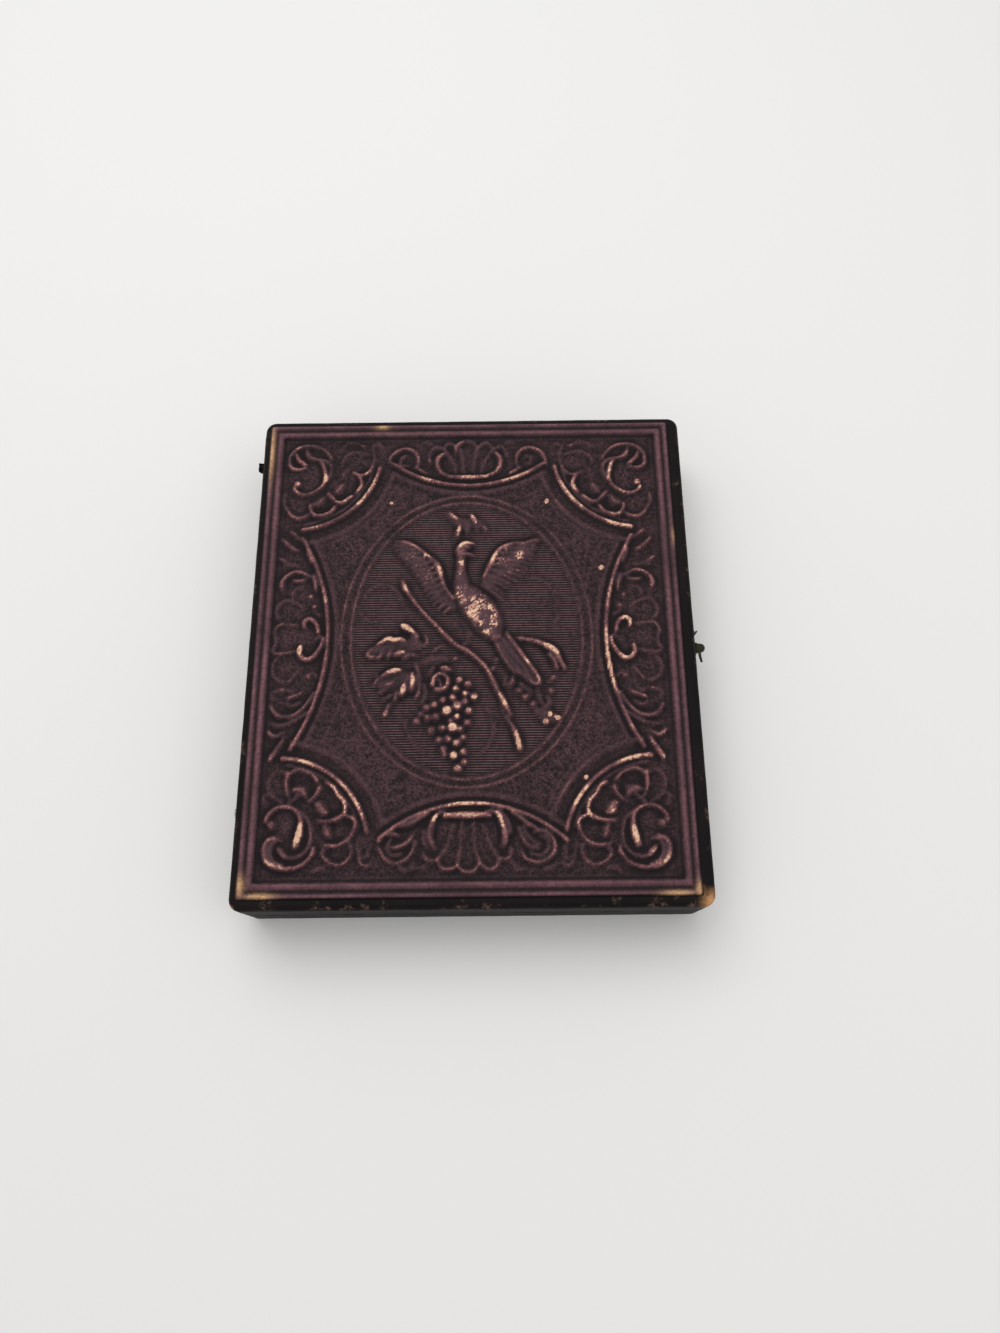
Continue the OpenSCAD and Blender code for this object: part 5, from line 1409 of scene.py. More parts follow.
@dataclass
class Cover:
    """One pressed leather panel, laid in the leather of its half."""

    body: str
    node: str
    outwards: int
    material: Material
    columns: int = 281
    rows: int = 327
    crest_mm: float = 0.8
    sheet_mm: float = 0.5
    wear: float = 1.0
    seed: int = 11
    level_steps: int = 10
    frame_mm: Point = (2.9, 2.75)
    pattern: Pattern = field(default_factory=Pattern)

    def build(self) -> Object:
        """Press the panel and put it in its place.

        Returns:
            The panel.
        """
        low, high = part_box(self.node)
        middle = (low + high) / 2
        span = high - low
        pressing = Pressing(self.pattern, self.columns, self.rows, self.crest_mm)
        pressing.border()
        pressing.scrolls()
        pressing.picture()
        pressing.field.soften()
        plumage = scuffed(pressing.field, FLECKED) * unit(pressing.field.height * 3 - 1)
        pressing.field.height -= 0.2 * plumage * self._grit(pressing.field.height.shape)
        heights = np.clip(pressing.field.height, -0.3 * self.crest_mm, self.crest_mm)
        crest_z = high.z if self.outwards > 0 else low.z
        ground_z = crest_z - self.outwards * self.crest_mm * MM
        x = middle.x + pressing.field.x * (span.x / self.pattern.width)
        y = middle.y + pressing.field.y * (span.y / self.pattern.length)
        z = ground_z + self.outwards * heights * MM
        return self._sheet(pressing.field, np.stack([x, y, z], axis=2), heights, ground_z)

    def _sheet(
        self, field_: HeightField, points: np.ndarray, heights: np.ndarray, ground_z: float
    ) -> Object:
        """Close the pressed face into a sheet with a flat back.

        Args:
            field_: The field that gives the places in the pattern.
            points: Points of the face, row by row.
            heights: Heights of the face, in millimetres.
            ground_z: Height of the ground of the face in the row frame.

        Returns:
            The panel.
        """
        rows, columns = heights.shape
        face = points.reshape(-1, 3)
        ring = grid_rim(columns, rows)
        back = face[ring].copy()
        back[:, 2] = ground_z - self.outwards * self.sheet_mm * MM
        count = len(face)
        after = np.roll(np.arange(len(ring)), -1)
        sides = np.stack(
            [ring, count + np.arange(len(ring)), count + after, ring[after]], axis=1
        )
        faces = [*grid_faces(columns, rows).tolist(), *sides.tolist()]
        faces.append(list(range(count + len(ring) - 1, count - 1, -1)))
        if self.outwards < 0:
            faces = [f[::-1] for f in faces]
        mesh = mesh_from(self.body + "_cover", np.vstack([face, back]), faces)
        spare = np.zeros(len(ring))
        for name, values in self._wear(field_, heights).items():
            paint(mesh, name, np.concatenate([values.ravel(), spare]))
        place = (self.body, self.node)
        return new_piece(self.node + "_pressed", mesh, Slot.PRESSED, self.material, *place)

    def _wear(self, field_: HeightField, heights: np.ndarray) -> dict[str, np.ndarray]:
        """Work out where the face is raised, rubbed and bare, where a highlight is painted along
        its crests, where sheen is painted on its frame and where shade is painted in its hollows.

        Args:
            field_: The field that gives the places.
            heights: Heights of the face, in millimetres.

        Returns:
            The values of each attribute that the finish reads.
        """
        crest = unit(heights / self.crest_mm)
        level = blurred(heights, self.level_steps)
        raised = unit((heights - level) * 3.5)
        # Painted shade: darker where the face lies below its blurred surroundings.
        hollow_shade = unit((level - heights) * 4.5)
        top = unit(raised * 1.5 - 0.35) * unit(crest * 2.5 - 0.3)
        grit = self._grit(heights.shape)
        worn = scuffed(field_, RUBBED) * unit(top * 1.3)
        # Rubbed wear at the worn places, plus a painted highlight along every raised crest.
        rub_and_highlight = unit((0.42 * top**1.5 + worn) * (0.3 + 1.2 * grit))
        flecks = unit(scuffed(field_, FLECKED) * 1.6 * unit(grit * 4 - 2.1))
        rub_and_highlight = np.maximum(rub_and_highlight, 1.8 * flecks * unit(crest * 3 - 1))
        edge = np.maximum(
            np.abs(field_.x) - self.pattern.width / 2 + self.frame_mm[0],
            np.abs(field_.y) - self.pattern.length / 2 + self.frame_mm[1],
        )
        # Painted sheen on the frame ridges.
        sheen = unit(edge * 3) * unit(crest * 2.2 - 0.9)
        for away in self.pattern.oval_lines(field_.x, field_.y, 0.2):
            rub_and_highlight = np.maximum(rub_and_highlight, 0.22 * np.exp(-(away**2)) * (0.4 + grit))
        rub_and_highlight = rub_and_highlight * (1 - 0.75 * unit(edge * 3))
        bare = scuffed(field_, BARE) * unit(crest * 2 - 0.3)
        for place_x, place_y, radius in SPECKS:
            away = np.hypot(field_.x - place_x, field_.y - place_y) / radius
            rub_and_highlight = np.maximum(rub_and_highlight, 4 * unit(1.3 - away))
        oval = self.pattern.in_oval(field_.x, field_.y, self.pattern.oval_inner)
        ruled = unit((0.985 - oval) * 40) * (1 - unit(crest * 5))
        return {
            "crest": crest,
            "hollow_shade": hollow_shade,
            "sheen": sheen,
            "rub_and_highlight": rub_and_highlight * self.wear,
            "bare": bare * self.wear,
            "ruled": ruled,
        }

    def _grit(self, shape: tuple[int, int]) -> np.ndarray:
        """Uneven grain from point to point, 0 to 1, the same each run."""
        fine = np.random.default_rng(self.seed).random(shape)
        broad = np.random.default_rng(self.seed + 1).random(shape)
        broad = unit((blurred(broad, 4) - 0.5) * 6 + 0.5)
        return 0.5 * fine + 0.5 * broad


def rounded_ring(half_w: float, half_l: float, radius: float, step: float) -> np.ndarray:
    """Points round a rectangle with round corners, turning left seen from +Z.

    Rings made with one step and one outer size match point for point.

    Args:
        half_w: Half its width.
        half_l: Half its length.
        radius: Radius of its corners.
        step: Share of a straight side between two points.

    Returns:
        One row a point.
    """
    radius = max(radius, 1e-6)
    w, h = half_w - radius, half_l - radius
    along = np.arange(0, 1, step)
    turns = np.radians(np.arange(0, 90, 9))
    corners = ((w, -h, w, h, 0), (w, h, -w, h, 90), (-w, h, -w, -h, 180), (-w, -h, w, -h, 270))
    parts = []
    for ax, ay, bx, by, turn in corners:
        a = math.radians(turn)
        out = np.array([math.cos(a), math.sin(a)]) * radius
        side = np.array([ax, ay]) + along[:, None] * np.array([bx - ax, by - ay]) + out
        bend = np.array([bx, by]) + radius * np.stack(
            [np.cos(turns + a), np.sin(turns + a)], axis=1
        )
        parts += [side, bend]
    return np.vstack(parts)


def lifted(ring: np.ndarray, z: float | np.ndarray) -> np.ndarray:
    """A flat ring of points put at a height, or at one height a point."""
    return np.column_stack([ring, np.broadcast_to(z, len(ring))])


def tube_faces(count: int, rings: int, closed: bool = True) -> list[list[int]]:
    """Faces between rings of points stored one after the other.

    Args:
        count: Points in a ring.
        rings: Number of rings.
        closed: Whether the last ring joins the first.

    Returns:
        The faces.
    """
    faces = []
    for j in range(rings if closed else rings - 1):
        k = (j + 1) % rings
        for i in range(count):
            n = (i + 1) % count
            faces.append([j * count + i, j * count + n, k * count + n, k * count + i])
    return faces


def bar_faces(count: int, rings: int) -> list[list[int]]:
    """Faces of a bar: those between its rings, and both end caps.

    Args:
        count: Points in a ring.
        rings: Number of rings.

    Returns:
        The faces.
    """
    last = (rings - 1) * count
    caps = [list(range(count - 1, -1, -1)), list(range(last, last + count))]
    return tube_faces(count, rings, closed=False) + caps


def slab_mesh(name: str, outer: np.ndarray, inner: np.ndarray) -> Mesh:
    """Close two matching grids of points into a strip.

    Args:
        name: Name of the mesh.
        outer: Points of the face whose rows turn left seen from outside.
        inner: Points of the other face.

    Returns:
        The mesh.
    """
    rows, columns, _ = outer.shape
    count = rows * columns
    front = grid_faces(columns, rows)
    back = grid_faces(columns, rows, count)[:, ::-1]
    ring = grid_rim(columns, rows)
    after = np.roll(ring, -1)
    sides = np.stack([ring, count + ring, count + after, after], axis=1)
    faces = [*front.tolist(), *back.tolist(), *sides.tolist()]
    return mesh_from(name, np.vstack([outer.reshape(-1, 3), inner.reshape(-1, 3)]), faces)


def ripple(x: np.ndarray, y: np.ndarray, z: np.ndarray, pitch: float, seed: float) -> np.ndarray:
    """Slow uneven waves from a few sines, -1 to 1.

    Args:
        x: Places along X, in metres.
        y: Places along Y.
        z: Places along Z.
        pitch: Length of the longest wave, in metres.
        seed: Shift that makes one piece differ from the next.

    Returns:
        The wave at each place.
    """
    k = 2 * math.pi / pitch
    first = np.sin(k * (x + 0.7 * y) + seed) * np.cos(k * (0.8 * y - 0.3 * z) + 2 * seed)
    second = np.sin(2.3 * k * (y - 0.6 * x) + 3 * seed) * np.cos(2.9 * k * (x + z) + seed)
    return 0.62 * first + 0.38 * second


@dataclass
class SideLeather:
    """Smooth leather round the rails of one half, turned over the edge of its panel."""

    body: str
    node: str
    outwards: int
    material: Material
    corner_mm: float = 2.0
    shoulder_mm: float = 1.0
    sheet_mm: float = 0.5
    lap_mm: float = 4.0
    bare_at: tuple[Place, ...] = ()

    def build(self) -> Object:
        """Wrap the leather round the half.

        Returns:
            The leather.
        """
        low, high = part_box(self.node)
        half_w, half_l = high.x, high.y
        face_z = high.z if self.outwards > 0 else low.z
        seam_z = low.z if self.outwards > 0 else high.z
        rings, worn = [], []
        for inset, z, wear in self._profile(face_z, seam_z):
            radius = max(self.corner_mm * MM - inset, 0.3 * MM)
            ring = rounded_ring(half_w - inset, half_l - inset, radius, 1 / 64)
            rings.append(lifted(ring, z))
            worn.append(np.full(len(ring), wear))
        points = np.vstack(rings)
        worn = np.concatenate(worn)
        slack = 0.5 + 0.5 * ripple(*points.T, 0.011, 1.3 + self.outwards)
        middle = np.array([0.0, 0.0, (face_z + seam_z) / 2])
        inwards = middle - points
        inwards[:, 2] *= 0.3
        inwards /= np.linalg.norm(inwards, axis=1)[:, None]
        points += inwards * (slack * 0.07 * MM)[:, None]
        faces = tube_faces(len(rings[0]), len(rings))
        if self.outwards > 0:
            faces = [f[::-1] for f in faces]
        mesh = mesh_from(self.body + "_side", points, faces)
        paint(mesh, "edge", worn)
        bare = np.zeros(len(points))
        for x, y, radius in self.bare_at:
            flat = np.hypot(points[:, 0] - x * MM, points[:, 1] - y * MM)
            away = np.hypot(flat, 0.7 * (points[:, 2] - face_z)) / (radius * MM)
            bare = np.maximum(bare, unit(1.5 - away))
        paint(mesh, "bare", bare)
        place = (self.body, self.node)
        return new_piece(self.node + "_wrap", mesh, Slot.SMOOTH, self.material, *place)

    def _profile(self, face_z: float, seam_z: float) -> list[tuple[float, float, float]]:
        """Section as (distance in from the side, height, wear), once round."""
        out, r, t = self.outwards, self.shoulder_mm * MM, self.sheet_mm * MM
        lap = self.lap_mm * MM
        section = [(lap, face_z, 0.0), (lap * 0.6, face_z, 0.1), (r * 1.4, face_z, 0.5)]
        for i in range(9):
            a = math.radians(90 * i / 8)
            place = (r * (1 - math.sin(a)), face_z - out * r * (1 - math.cos(a)))
            section.append((*place, 1.0 - abs(i - 4) / 8))
        first = section[-1][1]
        for i in range(1, 13):
            share = i / 12
            section.append((0.0, first + (seam_z - first) * share, 0.35 if i > 10 else 0.0))
        section += [(0.12 * MM, seam_z, 0.6), (t, seam_z, 0.3), (t, face_z - out * 1.1 * MM, 0.0)]
        section += [(t + 0.6 * MM, face_z - out * t, 0.0), (lap, face_z - out * t, 0.0)]
        return section


@dataclass
class Spine:
    """Leather over the back edge that carries the lid, and the strip inside it."""

    material: Material
    fold_mm: float = 1.0
    inner_mm: float = 0.28
    slit_mm: float = 0.02

    def build(self) -> list[Object]:
        """Make both strips."""
        return [self._outer(), self._inner()]

    def _outer(self) -> Object:
        """Make the strip outside, with ragged ends."""
        low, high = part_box("spine_leather")
        across = np.union1d(
            np.linspace(low.z, high.z, 41),
            np.linspace(SEAM_Z - self.fold_mm * MM, SEAM_Z + self.fold_mm * MM, 33),
        )
        along = np.linspace(low.y, high.y, 161)
        z, y = np.meshgrid(across, along)
        torn = ripple(y * 0, y, z, 0.006, 0.8) * 0.35 * MM
        edge = np.abs(z - SEAM_Z) / (high.z - SEAM_Z)
        z = z + np.where(edge > 0.97, -np.sign(z - SEAM_Z) * np.abs(torn), 0)
        out = low.x + (0.5 + 0.5 * ripple(y * 0, y, z, 0.013, 2.1)) * 0.09 * MM
        out = out + unit((edge - 0.9) / 0.1) * 0.28 * MM
        groove = np.exp(-(((z - SEAM_Z) / (0.35 * MM)) ** 2)) * 0.22 * MM
        outer = np.stack([out + groove, y, z], axis=2)
        inner = np.stack([np.full_like(y, high.x), y, z], axis=2)
        mesh = slab_mesh("spine", outer, inner)
        wear = unit((edge - 0.85) / 0.15) * 0.8
        wear += np.exp(-(((z - SEAM_Z) / (0.8 * MM)) ** 2))
        paint(mesh, "edge", np.concatenate([wear.ravel(), wear.ravel() * 0]))
        made = new_piece(
            "spine_leather_strip", mesh, Slot.SMOOTH, self.material, node="spine_leather"
        )
        (SEAM_MM - self.fold_mm) * MM
        (SEAM_MM + self.fold_mm) * MM
        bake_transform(made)
        return made

    def _inner(self) -> Object:
        """Make the strip inside, folded while the case is shut."""
        low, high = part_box("inner_hinge")
        thick, slit = self.inner_mm * MM, self.slit_mm * MM
        section = [(high.x, SEAM_Z - thick)]
        fold_x = low.x - 0.35 * MM
        section += [(high.x + (fold_x - high.x) * i / 12, SEAM_Z - thick) for i in range(1, 12)]
        for i in range(17):
            a = math.radians(-90 - 180 * i / 16)
            section.append((fold_x + thick * math.cos(a), SEAM_Z + thick * math.sin(a)))
        section += [(fold_x + (high.x - fold_x) * i / 12, SEAM_Z + thick) for i in range(1, 13)]
        section += [(high.x, SEAM_Z + slit), (fold_x, SEAM_Z + slit)]
        section += [(fold_x, SEAM_Z - slit), (high.x, SEAM_Z - slit)]
        along = np.linspace(low.y, high.y, 121)
        rings = [[(x, y, z) for x, z in section] for y in along]
        count = len(section)
        points = np.array(rings).reshape(-1, 3)
        mesh = mesh_from("inner_hinge", points, bar_faces(count, len(rings)))
        paint(mesh, "edge", np.zeros(count * len(rings)))
        made = new_piece(
            "inner_hinge_strip", mesh, Slot.SMOOTH, self.material, node="inner_hinge"
        )
        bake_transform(made)
        return made


@dataclass
class Cushion:
    """Velvet pad in the lid, swollen by its wadding."""

    material: Material
    columns: int = 60
    rows: int = 70
    scale: float = 20.0
    pressure: float = 4.0
    frames: int = 20
    edge_mm: float = 2.0
    simulated: float = 0.55

    def build(self) -> Object:
        """Fill the pad.

        Returns:
            The pad.
        """
        low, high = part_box("lid_pad")
        edge = self.edge_mm * MM
        made = self._blank(high, edge)
        self._swell(made)
        self._settle(made, low, high, edge)
        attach(made, "lid")
        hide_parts("lid_pad")
        return made

    def _blank(self, high: Vector, edge: float) -> Object:
        """Sew the flat cover: a closed slab that is pinned at its back.

        Args:
            high: Highest corner of its room.
            edge: Thickness of the slab.

        Returns:
            The cover.
        """
        u, v = np.meshgrid(np.linspace(-1, 1, self.columns), np.linspace(-1, 1, self.rows))
        draw = 0.35 * MM
        x = u * (high.x - draw * (1 - v * v) * np.abs(u))
        y = v * (high.y - draw * (1 - u * u) * np.abs(v))
        front = np.stack([x, y, np.full_like(x, high.z - edge)], axis=2)
        back = np.stack([x, y, np.full_like(x, high.z)], axis=2)
        mesh = slab_mesh("pad", back, front)
        pinned = self.columns * self.rows
        made = new_piece("lid_pad_cushion", mesh, Slot.VELVET, self.material)
        group = made.vertex_groups.new(name="pinned")
        group.add(list(range(pinned)), 1.0, "REPLACE")
        rim = pinned + grid_rim(self.columns, self.rows)
        group.add(rim.tolist(), 1.0, "REPLACE")
        return made

    def _swell(self, made: Object) -> None:
        """Blow the cover up with the cloth solver, at a size that suits it."""
        for vertex in made.data.vertices:
            vertex.co *= self.scale
        cloth = made.modifiers.new("wadding", "CLOTH")
        cloth.settings.quality = 5
        cloth.settings.mass = 0.3
        cloth.settings.use_pressure = True
        cloth.settings.uniform_pressure_force = self.pressure
        cloth.settings.vertex_group_mass = "pinned"
        cloth.settings.effector_weights.gravity = 0
        cloth.point_cache.frame_start = 1
        cloth.point_cache.frame_end = self.frames
        scene = bpy.context.scene
        for frame in range(1, self.frames + 1):
            scene.frame_set(frame)
        depsgraph = bpy.context.evaluated_depsgraph_get()
        swollen = made.evaluated_get(depsgraph).to_mesh()
        places = np.empty(len(swollen.vertices) * 3)
        swollen.vertices.foreach_get("co", places)
        made.evaluated_get(depsgraph).to_mesh_clear()
        made.modifiers.remove(cloth)
        made.data.vertices.foreach_set("co", places / self.scale)
        scene.frame_set(1)

    def _settle(self, made: Object, low: Vector, high: Vector, edge: float) -> None:
        """Press the pad into the room that the shut case leaves it.

        Args:
            made: The pad.
            low: Lowest corner of the room.
            high: Its highest corner.
            edge: Thickness of the pad at its edge.
        """
        places = np.empty(len(made.data.vertices) * 3)
        made.data.vertices.foreach_get("co", places)
        places = places.reshape(-1, 3)
        front = places[self.columns * self.rows :]
        room = (high.z - edge) - (low.z + 0.05 * MM)
        rise = (high.z - edge) - front[:, 2]
        u, v = front[:, 0] / high.x, front[:, 1] / high.y
        crown = (1 - np.abs(u).clip(0, 1) ** 2.6) ** 0.6 * (1 - np.abs(v).clip(0, 1) ** 3) ** 0.6
        share = rise / rise.max() if rise.max() > 0.1 * MM else crown
        share = self.simulated * share + (1 - self.simulated) * crown
        pucker = ripple(front[:, 0], front[:, 1], front[:, 0] * 0, 0.02, 0.4) * 0.04
        front[:, 2] = high.z - edge - room * (share / share.max() * (0.96 + pucker))
        front[:, 0] = np.clip(front[:, 0], -high.x, high.x)
        front[:, 1] = np.clip(front[:, 1], -high.y, high.y)
        made.data.vertices.foreach_set("co", places.ravel())
        made.data.update()


@dataclass
class Retainers:
    """Velvet-covered strips that hold the packet in the tray.

    The strip stands straight up to body_mm, draws in at waist_mm and rounds over from neck_mm.
    """

    material: Material
    body_mm: float = 7.7
    waist_mm: float = 8.0
    neck_mm: float = 8.2

    def build(self) -> list[Object]:
        """Make the strips."""
        return [self._strip("retainer_" + side) for side in ("head", "foot", "hinge", "latch")]

    def _strip(self, name: str) -> Object:
        """Make one strip, its back to the rail and its top rounded.

        Args:
            name: The CAD node that it stands for.

        Returns:
            The strip.
        """
        low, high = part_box(name)
        lies_across = (high.x - low.x) > (high.y - low.y)
        side = (low.y + high.y) if lies_across else (low.x + high.x)
        outwards = 1 if side > 0 else -1
        thick = (high.y - low.y) if lies_across else (high.x - low.x)
        wall = (high.y if outwards > 0 else low.y) if lies_across else (
            high.x if outwards > 0 else low.x
        )
        start, end = (low.x, high.x) if lies_across else (low.y, high.y)
        neck = thick - 0.4 * MM
        section = [(0.0, low.z), (thick, low.z)]
        section += [(thick, low.z + (self.body_mm * MM - low.z) * i / 6) for i in range(1, 7)]
        neck_z = self.neck_mm * MM
        section += [(thick - 0.1 * MM, self.waist_mm * MM), (neck + 0.08 * MM, neck_z)]
        for i in range(9):
            a = math.radians(180 * i / 8)
            section.append(
                (neck / 2 + neck / 2 * math.cos(a), high.z - neck / 2 + neck / 2 * math.sin(a))
            )
        rings = []
        stations = np.linspace(start, end, 97)
        wave = ripple(stations, stations * 0.3, stations * 0, 0.014, outwards + thick * 900)
        for s, w in zip(stations, wave):
            for depth, z in section:
                lift = max(0.0, (z - neck_z) / (high.z - neck_z))
                inner = wall - outwards * depth * (1 - 0.04 * (0.5 + 0.5 * w))
                height = z - lift * 0.1 * MM * (0.5 + 0.5 * w)
                rings.append((s, inner, height) if lies_across else (inner, s, height))
        count = len(section)
        faces = bar_faces(count, len(stations))
        if (outwards > 0) != lies_across:
            faces = [f[::-1] for f in faces]
        mesh = mesh_from(name, np.array(rings), faces)
        made = new_piece(name + "_velvet", mesh, Slot.VELVET, self.material, "tray", name)
        return made


@dataclass
class Preserver:
    """Pressed brass frame folded over the edge of the glass."""

    material: Material
    border_mm: float = 5.6
    window_mm: float = 5.0
    sheet_mm: float = 0.13
    top_mm: float = 6.2

    def build(self) -> Object:
        """Press and fold the frame.

        Returns:
            The frame.
        """
        low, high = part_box("preserver")
        top, sheet = self.top_mm * MM, self.sheet_mm * MM
        half_w, half_l = high.x, high.y
        border = self.border_mm * MM
        depths = np.linspace(0, 1, 41)
        rings = []
        for share in depths:
            inset = border * (1 - share)
            radius = (self.window_mm * (1 - share) + 0.15 * share) * MM
            ring = self._ring(half_w - inset, half_l - inset, radius)
            rings.append(lifted(ring, top + self._relief(share, ring)))
        bottom = low.z
        rim = self._ring(half_w, half_l, 0.15 * MM)
        inside = self._ring(half_w - sheet, half_l - sheet, 0.1 * MM)
        window = self._ring(half_w - border, half_l - border, self.window_mm * MM)
        under = top - 0.02 * MM
        for ring, z in ((rim, bottom), (inside, bottom), (inside, under - sheet)):
            rings.append(lifted(ring, z))
        rings.append(lifted(window, under - sheet))
        mesh = mesh_from("preserver", np.vstack(rings), tube_faces(len(rim), len(rings)))
        return new_piece("preserver_pressed", mesh, Slot.GILT, self.material, "tray", "preserver")

    @staticmethod
    def _ring(half_w: float, half_l: float, radius: float) -> np.ndarray:
        """Ring with points close enough for the pressed pattern."""
        return rounded_ring(half_w, half_l, radius, 1 / 180)

    @staticmethod
    def _relief(share: float, ring: np.ndarray) -> np.ndarray:
        """Height of the pressing: ridges, a row of leaves and a row of beads.

        Args:
            share: 0 at the window and 1 at the outer edge.
            ring: Points of the ring.

        Returns:
            The height at each point.
        """
        run = np.cumsum(np.hypot(*(ring - np.roll(ring, 1, axis=0)).T))
        ridge = 0.4 * MM * np.exp(-(((share - 0.93) / 0.035) ** 2))
        ridge += 0.22 * MM * np.exp(-(((share - 0.08) / 0.04) ** 2))
        leaf = unit(1 - ((share - 0.55) / 0.24) ** 2)
        lean = run / (2.4 * MM) * 2 * math.pi + share * 7
        bead = unit(1 - ((share - 0.2) / 0.06) ** 2)
        leaves = leaf * (0.55 + 0.45 * np.sin(lean)) * 0.42 * MM
        beads = bead * (0.5 + 0.5 * np.cos(run / (0.85 * MM) * 2 * math.pi)) * 0.26 * MM
        return np.minimum(ridge + leaves + beads, 0.44 * MM)


@dataclass
class Mat:
    """Stamped brass mat with an oval window, between the plate and the glass."""

    material: Material
    count: int = 360
    rim_mm: float = 10.8
    lip_mm: float = 0.9

    def build(self) -> Object:
        """Stamp the mat.

        Returns:
            The mat.
        """
        low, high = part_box("brass_mat")
        turn = np.linspace(0, 2 * math.pi, self.count, endpoint=False)
        aim = np.stack([np.cos(turn), np.sin(turn)], axis=1)
        window = aim * np.array([high.x - self.rim_mm * MM, high.y - self.rim_mm * MM])
        reach = np.min(np.array([high.x, high.y]) / np.abs(window).clip(1e-9), axis=1)
        outside = window * reach[:, None]
        top = high.z - 0.03 * MM
        lip = window + aim * self.lip_mm * MM
        rings = [
            (window, low.z + 0.02 * MM),
            (window + (lip - window) * 0.35, low.z + 0.16 * MM),
            (window + (lip - window) * 0.7, top - 0.03 * MM),
            (lip, top),
            (lip + (outside - lip) * 0.04, top - 0.05 * MM),
            (lip + (outside - lip) * 0.08, top - 0.02 * MM),
            (outside, top - 0.02 * MM),
            (outside, low.z),
            (window, low.z),
        ]
        points = np.vstack([lifted(ring, z) for ring, z in rings])
        faces = [f[::-1] for f in tube_faces(self.count, len(rings))]
        mesh = mesh_from("mat", points, faces)
        return new_piece("brass_mat_stamped", mesh, Slot.GILT, self.material, "tray", "brass_mat")


@dataclass(frozen=True)
class Tatter:
    """One frayed scrap of leather: place on the hinge side, in millimetres."""

    name: str
    body: str
    y: float
    z: float
    long: float
    reach: float
    curl: float


@dataclass
class Tatters:
    """Frayed scraps where the leather of the hinge has worn."""

    material: Material
    scraps: tuple[Tatter, ...] = (
        Tatter("upper", "lid", 37.6, 12.6, 2.6, 1.5, 0.5),
        Tatter("middle", "lid", -29.0, 10.4, 2.2, 1.2, 0.3),
        Tatter("lower", "tray", -35.6, 5.4, 3.6, 2.2, -0.4),
    )

    def build(self) -> list[Object]:
        """Cut and curl the scraps."""
        return [self._scrap(s) for s in self.scraps]

    def _scrap(self, scrap: Tatter) -> Object:
        """Cut one scrap that stands off the hinge leather.

        Args:
            scrap: Its place and size.

        Returns:
            The scrap.
        """
        low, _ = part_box("spine_leather")
        out, along = np.meshgrid(np.linspace(0, 1, 8), np.linspace(-0.5, 0.5, 12))
        ragged = 1 - 0.3 * np.abs(np.sin(along * 17 + scrap.y)) * out
        x = low.x + (0.25 - scrap.reach * out * ragged) * MM
        y = (scrap.y + along * scrap.long * (1 - 0.35 * out)) * MM
        z = (scrap.z + scrap.curl * out**2 + 0.12 * np.sin(along * 9 + out * 3)) * MM
        face = np.stack([x, y, z], axis=2)
        back = face - np.array([0, 0, 0.16 * MM])
        mesh = slab_mesh("tatter", face, back)
        made = new_piece("tatter_" + scrap.name, mesh, Slot.SMOOTH, self.material, scrap.body)
        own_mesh(made)
        return made


@dataclass
class LatchTrim:
    """Lifted end of the latch plate and the bent end of its pin."""

    material: Material
    sheet_mm: float = 0.3
    lift_mm: float = 0.95
    wire_mm: float = 0.32
    wire_sides: int = 12

    def build(self) -> list[Object]:
        """Bend both pieces.

        Returns:
            The pieces.
        """
        face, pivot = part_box("hook_plate")[1].x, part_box("hook_pivot")
        middle_z = (pivot[0].z + pivot[1].z) / 2
        return [self._lip(face, middle_z), self._pin_end(pivot[1].x, middle_z)]

    def _lip(self, face: float, z: float) -> Object:
        """End of the plate that stands off the leather.

        Args:
            face: X of the plate's face.
            z: Height of its middle line.

        Returns:
            The end.
        """
        out, up = np.meshgrid(np.linspace(0, 1, 10), np.linspace(-0.5, 0.5, 6))
        y = (1.25 + 1.9 * out) * MM
        x = face + (-0.15 + self.lift_mm * out**2) * MM
        height = z + (2.2 * up * (1 - 0.45 * out**2)) * MM
        front = np.stack([x, y, height], axis=2)
        back = front - np.array([self.sheet_mm * MM, 0, 0])
        mesh = slab_mesh("lip", front, back)
        return new_piece("hook_plate_lip", mesh, Slot.DARK_BRASS, self.material, "lid")

    def _pin_end(self, tip_x: float, z: float) -> Object:
        """Wire that sticks out under the knob.

        Args:
            tip_x: X of the knob's tip.
            z: Height of the pin.

        Returns:
            The wire.
        """
        path = np.array([(0, -0.2, 0), (0.05, -0.9, -0.1), (0.15, -1.7, -0.2), (0.3, -2.6, -0.25)])
        path = curve_through(path) * MM + np.array([tip_x - 1.0 * MM, 0, z])
        sides = self.wire_sides
        turn = np.linspace(0, 2 * math.pi, sides, endpoint=False)
        rings = []
        for share, at in zip(np.linspace(0, 1, len(path)), path):
            radius = self.wire_mm * MM * (1 - 0.35 * share)
            ring = np.column_stack([np.cos(turn), np.zeros(sides), np.sin(turn)]) * radius
            rings.append(at + ring)
        faces = [f[::-1] for f in bar_faces(sides, len(rings))]
        mesh = mesh_from("pin_end", np.vstack(rings), faces)
        return new_piece("hook_pin_end", mesh, Slot.DARK_BRASS, self.material, "lid")


# Studio


